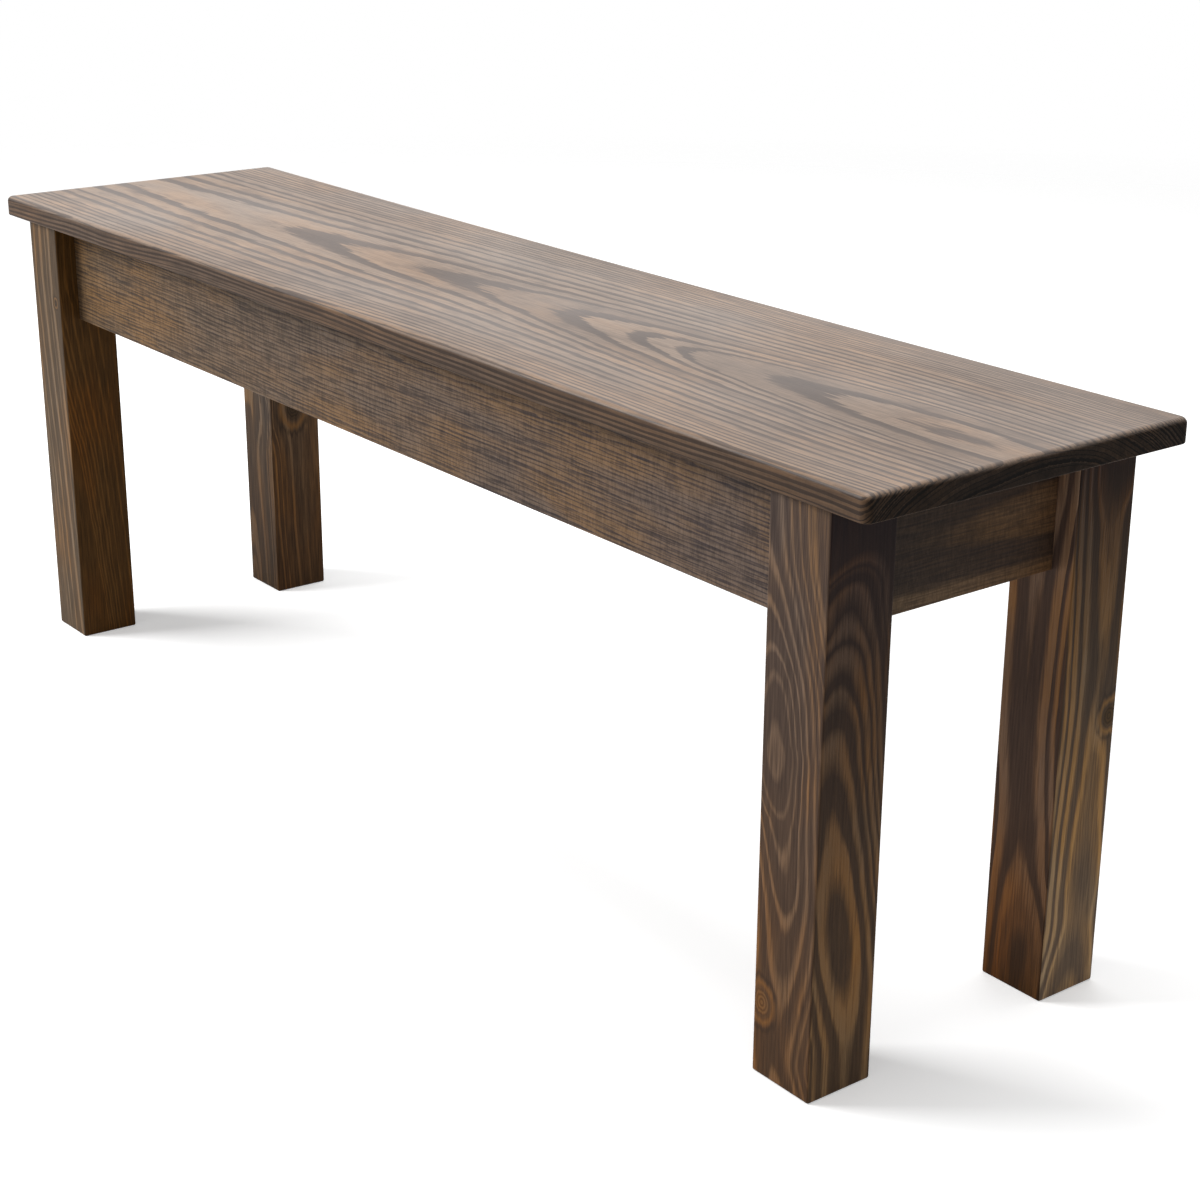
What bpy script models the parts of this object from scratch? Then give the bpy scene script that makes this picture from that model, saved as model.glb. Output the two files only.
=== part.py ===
"""A low bench of dark stained pine.

One wide seat board rests on four square legs joined by four aprons.  Corner
blocks, screwed to the aprons and bolted to the legs, hold the frame together.
Steel clips and a rail across the middle hold the seat down.

X runs along the bench, Y from front to back, Z up.  The origin is on the
floor under the middle of the seat.  All sizes are in metres.
"""

import math

import bmesh
import bpy
from mathutils import Matrix, Vector

# Clearance left between two pieces that touch
GAP = 0.0003

# Seat board
SEAT_HEIGHT = 0.457
SEAT_LENGTH = 1.276
SEAT_WIDTH = 0.310
SEAT_THICKNESS = 0.0192
SEAT_HOLLOW = 0.006
SEAT_CORNER_RADIUS = 0.007
SEAT_TOP_ROUND = 0.005
SEAT_BOTTOM_EASE = 0.0015
SEAT_EDGE_STEPS = 24
SEAT_CORNER_STEPS = 4
SEAT_ROUND_STEPS = 3

# Legs, set in from the seat's edges
LEG_SECTION = 0.0595
END_OVERHANG = 0.0385
SIDE_OVERHANG = 0.0072
LEG_EASE = 0.0018
LEG_FLAT = 0.0115

# Aprons, set back from the outer faces of the legs
APRON_HEIGHT = 0.0953
APRON_THICKNESS = 0.019
LONG_APRON_SETBACK = 0.0198
SHORT_APRON_SETBACK = 0.0190
APRON_EASE = 0.0010

# Wood left past the tips of the screws and dowels that end in a board
WOOD_PAST_TIPS = 0.006

# Corner blocks behind the legs
BLOCK_THICKNESS = 0.022
BLOCK_HEIGHT = 0.070
BLOCK_LEG_GAP = 0.0008
BLOCK_EASE = 0.0010
BLOCK_SCREW_SPACING = 0.044
BLOCK_SCREW_SEAT = 0.010

# Hanger bolts, each with a washer and a nut
BOLT_DIAMETER = 0.008
BOLT_IN_LEG = 0.040
BOLT_TIP = 0.008
BOLT_PAST_NUT = 0.006
BOLT_HOLE_CLEARANCE = 0.0005
WASHER_DIAMETER = 0.020
WASHER_THICKNESS = 0.0016
NUT_ACROSS_FLATS = 0.013
NUT_THICKNESS = 0.0065

# Wood screws
SCREW_DIAMETER = 0.0042
SCREW_HEAD_DIAMETER = 0.0084
SCREW_HEAD_HEIGHT = 0.0026
SCREW_TIP = 0.004
HEAD_POCKET_CLEARANCE = 0.0006

# Rail across the middle, under the seat
RAIL_THICKNESS = 0.019
RAIL_HEIGHT = 0.060
RAIL_DOWEL_SPACING = 0.030
RAIL_DOWEL_IN_RAIL = 0.022
DOWEL_DIAMETER = 0.008
DOWEL_CHAMFER = 0.001
RAIL_SCREW_SPACING = 0.120
RAIL_SCREW_SEAT = 0.030

# Steel clips that hold the seat to the aprons
CLIP_WIDTH = 0.019
CLIP_STEEL = 0.0016
CLIP_FOOT = 0.021
CLIP_STAND_OFF = 0.003
CLIP_DROP = 0.011
CLIP_TONGUE = 0.009
KERF_HEIGHT = 0.003
KERF_DEPTH = 0.0105
KERF_SIDE_CLEARANCE = 0.003
CLIP_FROM_RAIL = 0.300

# Facets round the turned pieces
DOWEL_SIDES = 16
BOLT_SIDES = 24
SCREW_SIDES = 12

# Places that follow from the sizes above
SEAT_UNDERSIDE = SEAT_HEIGHT - SEAT_THICKNESS
FRAME_TOP = SEAT_UNDERSIDE - GAP
APRON_BOTTOM = FRAME_TOP - APRON_HEIGHT
APRON_MIDDLE = FRAME_TOP - APRON_HEIGHT / 2
LEG_OUTER_X = SEAT_LENGTH / 2 - END_OVERHANG
LEG_OUTER_Y = SEAT_WIDTH / 2 - SIDE_OVERHANG
LEG_INNER_X = LEG_OUTER_X - LEG_SECTION
LEG_INNER_Y = LEG_OUTER_Y - LEG_SECTION
LONG_APRON_FACE = LEG_OUTER_Y - LONG_APRON_SETBACK
LONG_APRON_BACK = LONG_APRON_FACE - APRON_THICKNESS
SHORT_APRON_FACE = LEG_OUTER_X - SHORT_APRON_SETBACK
SHORT_APRON_BACK = SHORT_APRON_FACE - APRON_THICKNESS
TIP_IN_APRON = APRON_THICKNESS - WOOD_PAST_TIPS
TIP_IN_SEAT = SEAT_THICKNESS - WOOD_PAST_TIPS

# Places along a corner's diagonal, measured in from the aprons' back faces
DIAGONAL = math.sqrt(2)
LEG_PAST_APRONS = SHORT_APRON_BACK - LEG_INNER_X + LONG_APRON_BACK - LEG_INNER_Y
FLAT_REACH = LEG_PAST_APRONS - LEG_FLAT / DIAGONAL
BLOCK_NEAR = FLAT_REACH + BLOCK_LEG_GAP * DIAGONAL
BLOCK_FAR = BLOCK_NEAR + BLOCK_THICKNESS * DIAGONAL

CORNERS = {
    "front_left": (-1, -1),
    "front_right": (1, -1),
    "back_left": (-1, 1),
    "back_right": (1, 1),
}
UP = Vector((0, 0, 1))


def clear_scene():
    for thing in list(bpy.data.objects):
        bpy.data.objects.remove(thing)


def finish(name, colour, roughness, metallic=0.0):
    """A plain material of one colour."""
    material = bpy.data.materials.new(name)
    material.use_nodes = True
    shader = material.node_tree.nodes["Principled BSDF"]
    shader.inputs["Base Color"].default_value = (*colour, 1.0)
    shader.inputs["Roughness"].default_value = roughness
    shader.inputs["Metallic"].default_value = metallic
    return material


def make_object(name, bm, material=None):
    """Turn a bmesh into an object whose faces point out."""
    bmesh.ops.recalc_face_normals(bm, faces=bm.faces)
    mesh = bpy.data.meshes.new(name)
    bm.to_mesh(mesh)
    bm.free()
    thing = bpy.data.objects.new(name, mesh)
    bpy.context.collection.objects.link(thing)
    if material:
        mesh.materials.append(material)
    return thing


def shade_round(thing):
    thing.data.shade_smooth()
    thing.data.set_sharp_from_angle(angle=math.radians(35))


def ease_edges(thing, width, segments=1):
    """Take the sharp arris off every edge of a board."""
    bevel = thing.modifiers.new("ease", "BEVEL")
    bevel.width = width
    bevel.segments = segments
    bevel.limit_method = "ANGLE"


def carve(thing, bm, label):
    """Cut a closed shape, or several that stay apart, out of a piece."""
    cutter = make_object(thing.name + "_" + label, bm)
    cutter.hide_render = True
    cutter.display_type = "WIRE"
    cut = thing.modifiers.new(label, "BOOLEAN")
    cut.operation = "DIFFERENCE"
    cut.solver = "EXACT"
    cut.object = cutter


def add_box(bm, low, high):
    centre = (Vector(low) + Vector(high)) / 2
    size = Vector(high) - Vector(low)
    place = Matrix.Translation(centre) @ Matrix.Diagonal((*size, 1.0))
    bmesh.ops.create_cube(bm, size=1.0, matrix=place)


def add_prism(bm, outline, along):
    """Sweep a flat outline of points along a vector."""
    first = [bm.verts.new(point) for point in outline]
    second = [bm.verts.new(Vector(point) + along) for point in outline]
    bm.faces.new(first)
    bm.faces.new(second)
    for i in range(len(first)):
        j = (i + 1) % len(first)
        bm.faces.new((first[i], first[j], second[j], second[i]))


def add_turned(bm, start, direction, profile, sides, radius_at=None):
    """Turn a profile of (distance, radius) steps about an axis.

    A profile that ends on its first step makes a ring.  radius_at gives a
    step's reach from the angle round the axis and the step's radius.
    """
    direction = Vector(direction).normalized()
    helper = UP if abs(direction.z) < 0.9 else Vector((1, 0, 0))
    across = direction.cross(helper).normalized()
    upward = across.cross(direction)
    is_ring = profile[0] == profile[-1]
    loops = []
    for distance, radius in profile[:-1] if is_ring else profile:
        loop = []
        for i in range(sides):
            angle = 2 * math.pi * i / sides
            reach = radius_at(angle, radius) if radius_at else radius
            spoke = across * math.cos(angle) + upward * math.sin(angle)
            loop.append(bm.verts.new(Vector(start) + direction * distance + spoke * reach))
        loops.append(loop)
    if is_ring:
        loops.append(loops[0])
    for lower, upper in zip(loops, loops[1:]):
        for i in range(sides):
            j = (i + 1) % sides
            bm.faces.new((lower[i], lower[j], upper[j], upper[i]))
    if not is_ring:
        bm.faces.new(loops[0])
        bm.faces.new(loops[-1])


def add_hole(bm, face, direction, depth, diameter, sides):
    """A round hole into a face, cut from a little outside it."""
    lead = 0.002
    radius = diameter / 2 + GAP
    profile = [(-lead, radius), (depth, radius)]
    add_turned(bm, face, direction, profile, sides)


def seat_outline(inset):
    """The seat's plan, drawn in by an inset, with its hollow long edges."""
    half_length = SEAT_LENGTH / 2
    radius = SEAT_CORNER_RADIUS - inset
    corner_x = half_length - SEAT_CORNER_RADIUS
    corner_y = SEAT_WIDTH / 2 - SEAT_CORNER_RADIUS
    points = []
    for quarter in range(4):
        sx = (1, -1, -1, 1)[quarter]
        sy = (1, 1, -1, -1)[quarter]
        for i in range(SEAT_CORNER_STEPS + 1):
            angle = math.pi / 2 * (quarter + i / SEAT_CORNER_STEPS)
            x = sx * corner_x + radius * math.cos(angle)
            y = sy * corner_y + radius * math.sin(angle)
            points.append((x, y))
        if sx == sy:
            for i in range(1, SEAT_EDGE_STEPS):
                share = 1 - 2 * i / SEAT_EDGE_STEPS
                x = sx * corner_x * share
                y = sy * (corner_y + radius - SEAT_HOLLOW * (1 - share**2))
                points.append((x, y))
    return points


def make_seat(material):
    """The seat board, rounded over on top and eased below."""
    steps = [(SEAT_UNDERSIDE, SEAT_BOTTOM_EASE), (SEAT_UNDERSIDE + SEAT_BOTTOM_EASE, 0.0)]
    for i in range(SEAT_ROUND_STEPS + 1):
        angle = math.pi / 2 * i / SEAT_ROUND_STEPS
        z = SEAT_HEIGHT - SEAT_TOP_ROUND * (1 - math.sin(angle))
        steps.append((z, SEAT_TOP_ROUND * (1 - math.cos(angle))))
    bm = bmesh.new()
    loops = [[bm.verts.new((x, y, z)) for x, y in seat_outline(inset)] for z, inset in steps]
    for lower, upper in zip(loops, loops[1:]):
        for i in range(len(lower)):
            j = (i + 1) % len(lower)
            bm.faces.new((lower[i], lower[j], upper[j], upper[i]))
    bm.faces.new(loops[0])
    bm.faces.new(loops[-1])
    seat = make_object("seat_board", bm, material)
    pilots = bmesh.new()
    for spot, inward in clip_places():
        screw = clip_screw_spot(spot, inward)
        add_hole(pilots, screw, UP, TIP_IN_SEAT, SCREW_DIAMETER, SCREW_SIDES)
    for head in rail_screw_heads():
        spot = Vector((head.x, head.y, SEAT_UNDERSIDE))
        add_hole(pilots, spot, UP, TIP_IN_SEAT, SCREW_DIAMETER, SCREW_SIDES)
    carve(seat, pilots, "pilot_holes")


def corner_point(corner, u, v, z):
    """A point u and v in from the back faces of the aprons at a corner."""
    sx, sy = CORNERS[corner]
    return Vector((sx * (SHORT_APRON_BACK - u), sy * (LONG_APRON_BACK - v), z))


def corner_outward(corner):
    sx, sy = CORNERS[corner]
    return Vector((sx, sy, 0)).normalized()


def bolt_outside_block():
    """The length of a bolt on the near side of its block."""
    return BOLT_PAST_NUT + NUT_THICKNESS + GAP + WASHER_THICKNESS + GAP


def bolt_start(corner):
    """The inner end of a hanger bolt, past its nut."""
    on_block = corner_point(corner, BLOCK_FAR / 2, BLOCK_FAR / 2, APRON_MIDDLE)
    return on_block - corner_outward(corner) * bolt_outside_block()


def bolt_length():
    through_block = (BLOCK_FAR - FLAT_REACH) / DIAGONAL
    return bolt_outside_block() + through_block + BOLT_IN_LEG


def make_leg(corner, material):
    """A square leg with a flat for the corner block on its inner edge."""
    sx, sy = CORNERS[corner]
    bm = bmesh.new()
    xs = sorted((sx * LEG_OUTER_X, sx * LEG_INNER_X))
    ys = sorted((sy * LEG_OUTER_Y, sy * LEG_INNER_Y))
    add_box(bm, (xs[0], ys[0], 0), (xs[1], ys[1], FRAME_TOP))
    leg = make_object("leg_" + corner, bm, material)
    ease_edges(leg, LEG_EASE, 2)

    flat = bmesh.new()
    beyond = FLAT_REACH + LEG_SECTION
    corner_cut = [
        corner_point(corner, beyond, -LEG_SECTION, APRON_BOTTOM),
        corner_point(corner, -LEG_SECTION, beyond, APRON_BOTTOM),
        corner_point(corner, beyond, beyond, APRON_BOTTOM),
    ]
    add_prism(flat, corner_cut, UP * 2 * APRON_HEIGHT)
    carve(leg, flat, "bolt_flat")

    hole = bmesh.new()
    on_flat = corner_point(corner, FLAT_REACH / 2, FLAT_REACH / 2, APRON_MIDDLE)
    add_hole(hole, on_flat, corner_outward(corner), BOLT_IN_LEG + GAP, BOLT_DIAMETER, BOLT_SIDES)
    carve(leg, hole, "bolt_hole")


def block_screws(corner):
    """The screws of a corner block: the face of its apron, and the way in."""
    sx, sy = CORNERS[corner]
    middle = (BLOCK_NEAR + BLOCK_FAR) / 2
    for dz in (-BLOCK_SCREW_SPACING / 2, BLOCK_SCREW_SPACING / 2):
        z = APRON_MIDDLE + dz
        yield corner_point(corner, middle, 0, z), Vector((0, sy, 0))
        yield corner_point(corner, 0, middle, z), Vector((sx, 0, 0))


def clip_places():
    """Where each clip meets the back face of its apron, and the way inward."""
    for side in (-1, 1):
        for x in (-CLIP_FROM_RAIL, CLIP_FROM_RAIL):
            yield Vector((x, side * LONG_APRON_BACK, SEAT_UNDERSIDE)), Vector((0, -side, 0))
    for side in (-1, 1):
        yield Vector((side * SHORT_APRON_BACK, 0, SEAT_UNDERSIDE)), Vector((-side, 0, 0))


def clip_screw_spot(spot, inward):
    """Where a clip's screw enters the seat, at the middle of the clip's foot."""
    return spot + inward * (CLIP_STAND_OFF + (CLIP_FOOT + CLIP_STEEL) / 2)


def add_kerf(bm, spot, inward):
    """The short slot in an apron that takes a clip's tongue."""
    across = inward.cross(UP)
    half = across * (CLIP_WIDTH / 2 + KERF_SIDE_CLEARANCE)
    corner = spot - UP * (CLIP_DROP - GAP) - half
    mouth = corner + inward * CLIP_STAND_OFF
    depth = corner - inward * KERF_DEPTH
    add_prism(bm, [mouth, depth, depth - UP * KERF_HEIGHT, mouth - UP * KERF_HEIGHT], half * 2)


def apron_cuts(outward):
    """What is cut into the apron that faces outward: pilot holes, kerfs, dowel holes."""
    cuts = bmesh.new()
    for corner in CORNERS:
        for face, way_in in block_screws(corner):
            if way_in == outward:
                add_hole(cuts, face, outward, TIP_IN_APRON, SCREW_DIAMETER, SCREW_SIDES)
    for spot, inward in clip_places():
        if inward == -outward:
            add_kerf(cuts, spot, inward)
    for face, way_in in rail_joints():
        if way_in == outward:
            add_hole(cuts, face, outward, TIP_IN_APRON, DOWEL_DIAMETER, DOWEL_SIDES)
    return cuts


def make_apron(name, outward, face, back, end, material):
    """An apron between two legs, with its end grain butted against them."""
    along = Vector((abs(outward.y), abs(outward.x), 0))
    corners = (outward * face - along * end, outward * back + along * end)
    low = [min(pair) for pair in zip(*corners)]
    high = [max(pair) for pair in zip(*corners)]
    bm = bmesh.new()
    add_box(bm, (low[0], low[1], APRON_BOTTOM), (high[0], high[1], FRAME_TOP))
    apron = make_object(name, bm, material)
    ease_edges(apron, APRON_EASE)
    carve(apron, apron_cuts(outward), "cuts")


def make_aprons(material):
    for name, side in (("apron_front", -1), ("apron_back", 1)):
        outward = Vector((0, side, 0))
        make_apron(name, outward, LONG_APRON_FACE, LONG_APRON_BACK, LEG_INNER_X - GAP, material)
    for name, side in (("apron_left", -1), ("apron_right", 1)):
        outward = Vector((side, 0, 0))
        make_apron(name, outward, SHORT_APRON_FACE, SHORT_APRON_BACK, LEG_INNER_Y - GAP, material)


def add_screw_hole(bm, head, direction, pocket_depth, shank_depth):
    """A sunk hole: a pocket for the head down to a ledge, then a way for the shank."""
    past = SCREW_DIAMETER
    narrow = SCREW_DIAMETER / 2 + GAP
    wide = SCREW_HEAD_DIAMETER / 2 + HEAD_POCKET_CLEARANCE
    profile = [(-pocket_depth, wide), (0, wide), (0, narrow), (shank_depth + past, narrow)]
    add_turned(bm, head, direction, profile, SCREW_SIDES)


def make_block(corner, material):
    """A block across the inside of a corner, against both aprons."""
    bottom = APRON_MIDDLE - BLOCK_HEIGHT / 2
    bm = bmesh.new()
    outline = [
        corner_point(corner, BLOCK_NEAR - GAP, GAP, bottom),
        corner_point(corner, BLOCK_FAR - GAP, GAP, bottom),
        corner_point(corner, GAP, BLOCK_FAR - GAP, bottom),
        corner_point(corner, GAP, BLOCK_NEAR - GAP, bottom),
    ]
    add_prism(bm, outline, UP * BLOCK_HEIGHT)
    block = make_object("corner_block_" + corner, bm, material)
    ease_edges(block, BLOCK_EASE)

    holes = bmesh.new()
    bolt_bore = BOLT_DIAMETER + 2 * BOLT_HOLE_CLEARANCE
    add_hole(holes, bolt_start(corner), corner_outward(corner), bolt_length(), bolt_bore, BOLT_SIDES)
    for face, outward in block_screws(corner):
        head = face - outward * BLOCK_SCREW_SEAT
        add_screw_hole(holes, head, outward, BLOCK_THICKNESS, BLOCK_SCREW_SEAT)
    carve(block, holes, "holes")


def make_bolt(corner, material):
    """A hanger bolt, screwed into the leg and nutted behind the block."""
    bm = bmesh.new()
    radius = BOLT_DIAMETER / 2
    length = bolt_length()
    chamfer = BOLT_DIAMETER / 8
    profile = [
        (0, radius - chamfer),
        (chamfer, radius),
        (length - BOLT_TIP, radius),
        (length, radius / 4),
    ]
    add_turned(bm, bolt_start(corner), corner_outward(corner), profile, BOLT_SIDES)
    shade_round(make_object("hanger_bolt_" + corner, bm, material))


def make_washer(corner, material):
    bm = bmesh.new()
    outer = WASHER_DIAMETER / 2
    bore = BOLT_DIAMETER / 2 + GAP
    ring = [
        (0, bore),
        (0, outer),
        (WASHER_THICKNESS, outer),
        (WASHER_THICKNESS, bore),
        (0, bore),
    ]
    from_end = BOLT_PAST_NUT + NUT_THICKNESS + GAP
    start = bolt_start(corner) + corner_outward(corner) * from_end
    add_turned(bm, start, corner_outward(corner), ring, BOLT_SIDES)
    shade_round(make_object("washer_" + corner, bm, material))


def make_nut(corner, material):
    """A hexagon nut with its corners turned down on both faces."""
    bm = bmesh.new()
    flat = NUT_ACROSS_FLATS / 2
    bore = BOLT_DIAMETER / 2 + GAP
    sixth = math.pi / 3

    def hexagon(angle, radius):
        if radius <= bore:
            return radius
        from_flat = (angle + sixth / 2) % sixth - sixth / 2
        return min(radius, flat / math.cos(from_flat))

    corner_reach = flat / math.cos(sixth / 2)
    chamfer = corner_reach - flat
    ring = [
        (0, bore),
        (0, flat),
        (chamfer / DIAGONAL, corner_reach),
        (NUT_THICKNESS - chamfer / DIAGONAL, corner_reach),
        (NUT_THICKNESS, flat),
        (NUT_THICKNESS, bore),
        (0, bore),
    ]
    start = bolt_start(corner) + corner_outward(corner) * BOLT_PAST_NUT
    add_turned(bm, start, corner_outward(corner), ring, BOLT_SIDES, hexagon)
    shade_round(make_object("nut_" + corner, bm, material))


def make_screw(name, ledge, direction, length, material):
    """A pan head screw whose head bears on a ledge, with its tip this far past it."""
    shank = SCREW_DIAMETER / 2
    head = SCREW_HEAD_DIAMETER / 2
    profile = [
        (-SCREW_HEAD_HEIGHT, head / 2),
        (-SCREW_HEAD_HEIGHT * 0.6, head * 0.85),
        (0, head),
        (0, shank),
        (length - SCREW_TIP, shank),
        (length, shank / 5),
    ]
    bm = bmesh.new()
    add_turned(bm, ledge - direction * GAP, direction, profile, SCREW_SIDES)
    shade_round(make_object(name, bm, material))


def make_block_screws(corner, material):
    length = BLOCK_SCREW_SEAT + TIP_IN_APRON
    for number, (face, outward) in enumerate(block_screws(corner), 1):
        name = "block_screw_" + corner + "_" + str(number)
        make_screw(name, face - outward * BLOCK_SCREW_SEAT, outward, length, material)


def rail_joints():
    """The dowels of the cross rail, where each crosses an apron's back face."""
    middle = FRAME_TOP - RAIL_HEIGHT / 2
    for side in (-1, 1):
        for dz in (-RAIL_DOWEL_SPACING / 2, RAIL_DOWEL_SPACING / 2):
            yield Vector((0, side * LONG_APRON_BACK, middle + dz)), Vector((0, side, 0))


def rail_screw_heads():
    """The ledges inside the cross rail that its screws' heads bear on."""
    for side in (-1, 1):
        yield Vector((0, side * RAIL_SCREW_SPACING / 2, FRAME_TOP - RAIL_SCREW_SEAT))


def make_rail(material):
    """The rail across the middle that carries the seat and stiffens the aprons."""
    half = RAIL_THICKNESS / 2
    end = LONG_APRON_BACK - GAP
    bm = bmesh.new()
    add_box(bm, (-half, -end, FRAME_TOP - RAIL_HEIGHT), (half, end, FRAME_TOP))
    rail = make_object("cross_rail", bm, material)
    ease_edges(rail, APRON_EASE)

    holes = bmesh.new()
    for face, outward in rail_joints():
        end_grain = face - outward * GAP
        add_hole(holes, end_grain, -outward, RAIL_DOWEL_IN_RAIL, DOWEL_DIAMETER, DOWEL_SIDES)
    for head in rail_screw_heads():
        add_screw_hole(holes, head, UP, RAIL_HEIGHT, RAIL_SCREW_SEAT)
    carve(rail, holes, "holes")


def make_rail_dowels(material):
    """Dowels that tie the ends of the cross rail to the long aprons."""
    radius = DOWEL_DIAMETER / 2
    length = RAIL_DOWEL_IN_RAIL + TIP_IN_APRON - GAP
    profile = [
        (0, radius - DOWEL_CHAMFER),
        (DOWEL_CHAMFER, radius),
        (length - DOWEL_CHAMFER, radius),
        (length, radius - DOWEL_CHAMFER),
    ]
    for number, (face, outward) in enumerate(rail_joints(), 1):
        bm = bmesh.new()
        add_turned(bm, face - outward * RAIL_DOWEL_IN_RAIL, outward, profile, DOWEL_SIDES)
        shade_round(make_object("cross_rail_dowel_" + str(number), bm, material))


def make_rail_screws(material):
    for number, head in enumerate(rail_screw_heads(), 1):
        make_screw("cross_rail_screw_" + str(number), head, UP, RAIL_SCREW_SEAT + TIP_IN_SEAT, material)


def make_clip(number, spot, inward, material):
    """A bent steel strap: its tongue in the apron's kerf, its foot on the seat."""
    near = CLIP_STAND_OFF
    far = near + CLIP_STEEL
    foot = near + CLIP_FOOT
    profile = [
        (foot, GAP),
        (near, GAP),
        (near, CLIP_DROP),
        (-CLIP_TONGUE, CLIP_DROP),
        (-CLIP_TONGUE, CLIP_DROP + CLIP_STEEL),
        (far, CLIP_DROP + CLIP_STEEL),
        (far, GAP + CLIP_STEEL),
        (foot, GAP + CLIP_STEEL),
    ]
    across = inward.cross(UP)
    edge = spot - across * CLIP_WIDTH / 2
    bm = bmesh.new()
    add_prism(bm, [edge + inward * reach - UP * drop for reach, drop in profile], across * CLIP_WIDTH)
    clip = make_object("seat_clip_" + str(number), bm, material)

    hole = bmesh.new()
    under_foot = clip_screw_spot(spot, inward) - UP * (GAP + CLIP_STEEL)
    add_hole(hole, under_foot, UP, 2 * CLIP_STEEL, SCREW_DIAMETER, SCREW_SIDES)
    carve(clip, hole, "hole")
    length = CLIP_STEEL + GAP + TIP_IN_SEAT
    make_screw("seat_clip_screw_" + str(number), under_foot, UP, length, material)


def make_clips(material):
    for number, (spot, inward) in enumerate(clip_places(), 1):
        make_clip(number, spot, inward, material)


clear_scene()
stained_pine = finish("stained_pine", (0.105, 0.068, 0.047), 0.5)
bare_pine = finish("bare_pine", (0.55, 0.36, 0.19), 0.7)
beech = finish("beech", (0.60, 0.42, 0.26), 0.6)
zinc_steel = finish("zinc_steel", (0.62, 0.62, 0.60), 0.35, 1.0)

make_seat(stained_pine)
make_aprons(stained_pine)
for corner_name in CORNERS:
    make_leg(corner_name, stained_pine)
    make_block(corner_name, bare_pine)
    make_block_screws(corner_name, zinc_steel)
    make_bolt(corner_name, zinc_steel)
    make_washer(corner_name, zinc_steel)
    make_nut(corner_name, zinc_steel)
make_rail(stained_pine)
make_rail_dowels(beech)
make_rail_screws(zinc_steel)
make_clips(zinc_steel)
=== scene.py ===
"""The looks of a low bench of dark stained pine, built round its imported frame.

Sizes are in metres, X along the bench, Y from front to back, Z up.  Places in
the grain of a board are in millimetres along, across and into that board.
"""

import math

import bmesh
import bpy
from mathutils import Matrix, Quaternion, Vector


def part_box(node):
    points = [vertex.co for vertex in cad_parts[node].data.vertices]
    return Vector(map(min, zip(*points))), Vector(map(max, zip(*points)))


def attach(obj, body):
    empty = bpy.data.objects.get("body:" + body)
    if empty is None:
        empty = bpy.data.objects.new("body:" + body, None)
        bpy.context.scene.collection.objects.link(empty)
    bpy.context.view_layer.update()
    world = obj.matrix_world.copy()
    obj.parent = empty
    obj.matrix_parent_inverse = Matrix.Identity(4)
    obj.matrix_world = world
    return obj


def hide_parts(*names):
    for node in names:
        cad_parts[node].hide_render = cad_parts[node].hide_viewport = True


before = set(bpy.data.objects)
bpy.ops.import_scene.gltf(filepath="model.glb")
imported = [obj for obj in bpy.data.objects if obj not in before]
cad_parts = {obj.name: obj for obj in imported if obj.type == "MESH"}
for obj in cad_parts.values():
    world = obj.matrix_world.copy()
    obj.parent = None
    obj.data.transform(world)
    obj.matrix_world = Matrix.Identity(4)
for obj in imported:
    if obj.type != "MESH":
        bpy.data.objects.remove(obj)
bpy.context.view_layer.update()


# Legs
# Four square posts of stained pine sawn from the heart of small logs, planed,
# with a light round on every arris.  A flat on the inner edge of each takes
# the corner block, and a hole through the flat takes the hanger bolt.
CORNERS = {
    "front_left": Vector((-1, -1, 0)),
    "front_right": Vector((1, -1, 0)),
    "back_left": Vector((-1, 1, 0)),
    "back_right": Vector((1, 1, 0)),
}
LEG_ROUND = 0.0018
LEG_FLAT = 0.0115
BOLT_DIAMETER = 0.008
HOLE_CLEARANCE = 0.0003
BOLT_IN_LEG = 0.040
MM = 1000.0
SHARP_ABOVE = math.radians(40)
SMOOTH_BELOW = math.radians(35)
PITH_SPAN = 400.0
FACES_THAT_WAY = 0.7


def start_timber(name, low, high):
    """A squared length of timber between two corners."""
    low, high = Vector(low), Vector(high)
    bpy.ops.mesh.primitive_cube_add(size=1.0, location=(low + high) / 2, scale=high - low)
    bpy.ops.object.transform_apply()
    timber = bpy.context.object
    timber.name = name
    timber.data.name = name
    return timber


def start_bar(start, direction, length, diameter, sides=32):
    """A plain round bar from a start point, to be turned into a pin or a bore."""
    direction = Vector(direction).normalized()
    middle = Vector(start) + direction * length / 2
    turn = direction.to_track_quat("Z", "Y").to_euler()
    bpy.ops.mesh.primitive_cylinder_add(
        vertices=sides, radius=diameter / 2, depth=length, location=middle, rotation=turn
    )
    bpy.ops.object.transform_apply()
    return bpy.context.object


def choose(piece, parts, wanted):
    """Open a piece for editing with only the verts, edges or faces that pass a test selected."""
    bpy.context.view_layer.objects.active = piece
    bpy.ops.object.mode_set(mode="EDIT")
    bpy.ops.mesh.select_mode(type={"verts": "VERT", "edges": "EDGE", "faces": "FACE"}[parts])
    bpy.ops.mesh.select_all(action="DESELECT")
    shape = bmesh.from_edit_mesh(piece.data)
    for part in getattr(shape, parts):
        part.select_set(wanted(part))
    shape.select_flush_mode()
    bmesh.update_edit_mesh(piece.data)


def is_arris(edge):
    """True where two faces of a board meet at a sharp angle."""
    return len(edge.link_faces) == 2 and edge.calc_face_angle() > SHARP_ABOVE


def round_over(piece, width, segments, wanted=is_arris):
    """Round over the chosen edges of a piece."""
    choose(piece, "edges", wanted)
    bpy.ops.mesh.bevel(offset=width, segments=segments, affect="EDGES")
    bpy.ops.object.mode_set(mode="OBJECT")


def apply_modifier(piece, kind, **settings):
    """Give a piece a modifier with these settings and apply it."""
    modifier = piece.modifiers.new(kind.lower(), kind)
    for name, value in settings.items():
        setattr(modifier, name, value)
    bpy.context.view_layer.objects.active = piece
    bpy.ops.object.modifier_apply(modifier=modifier.name)


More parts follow.
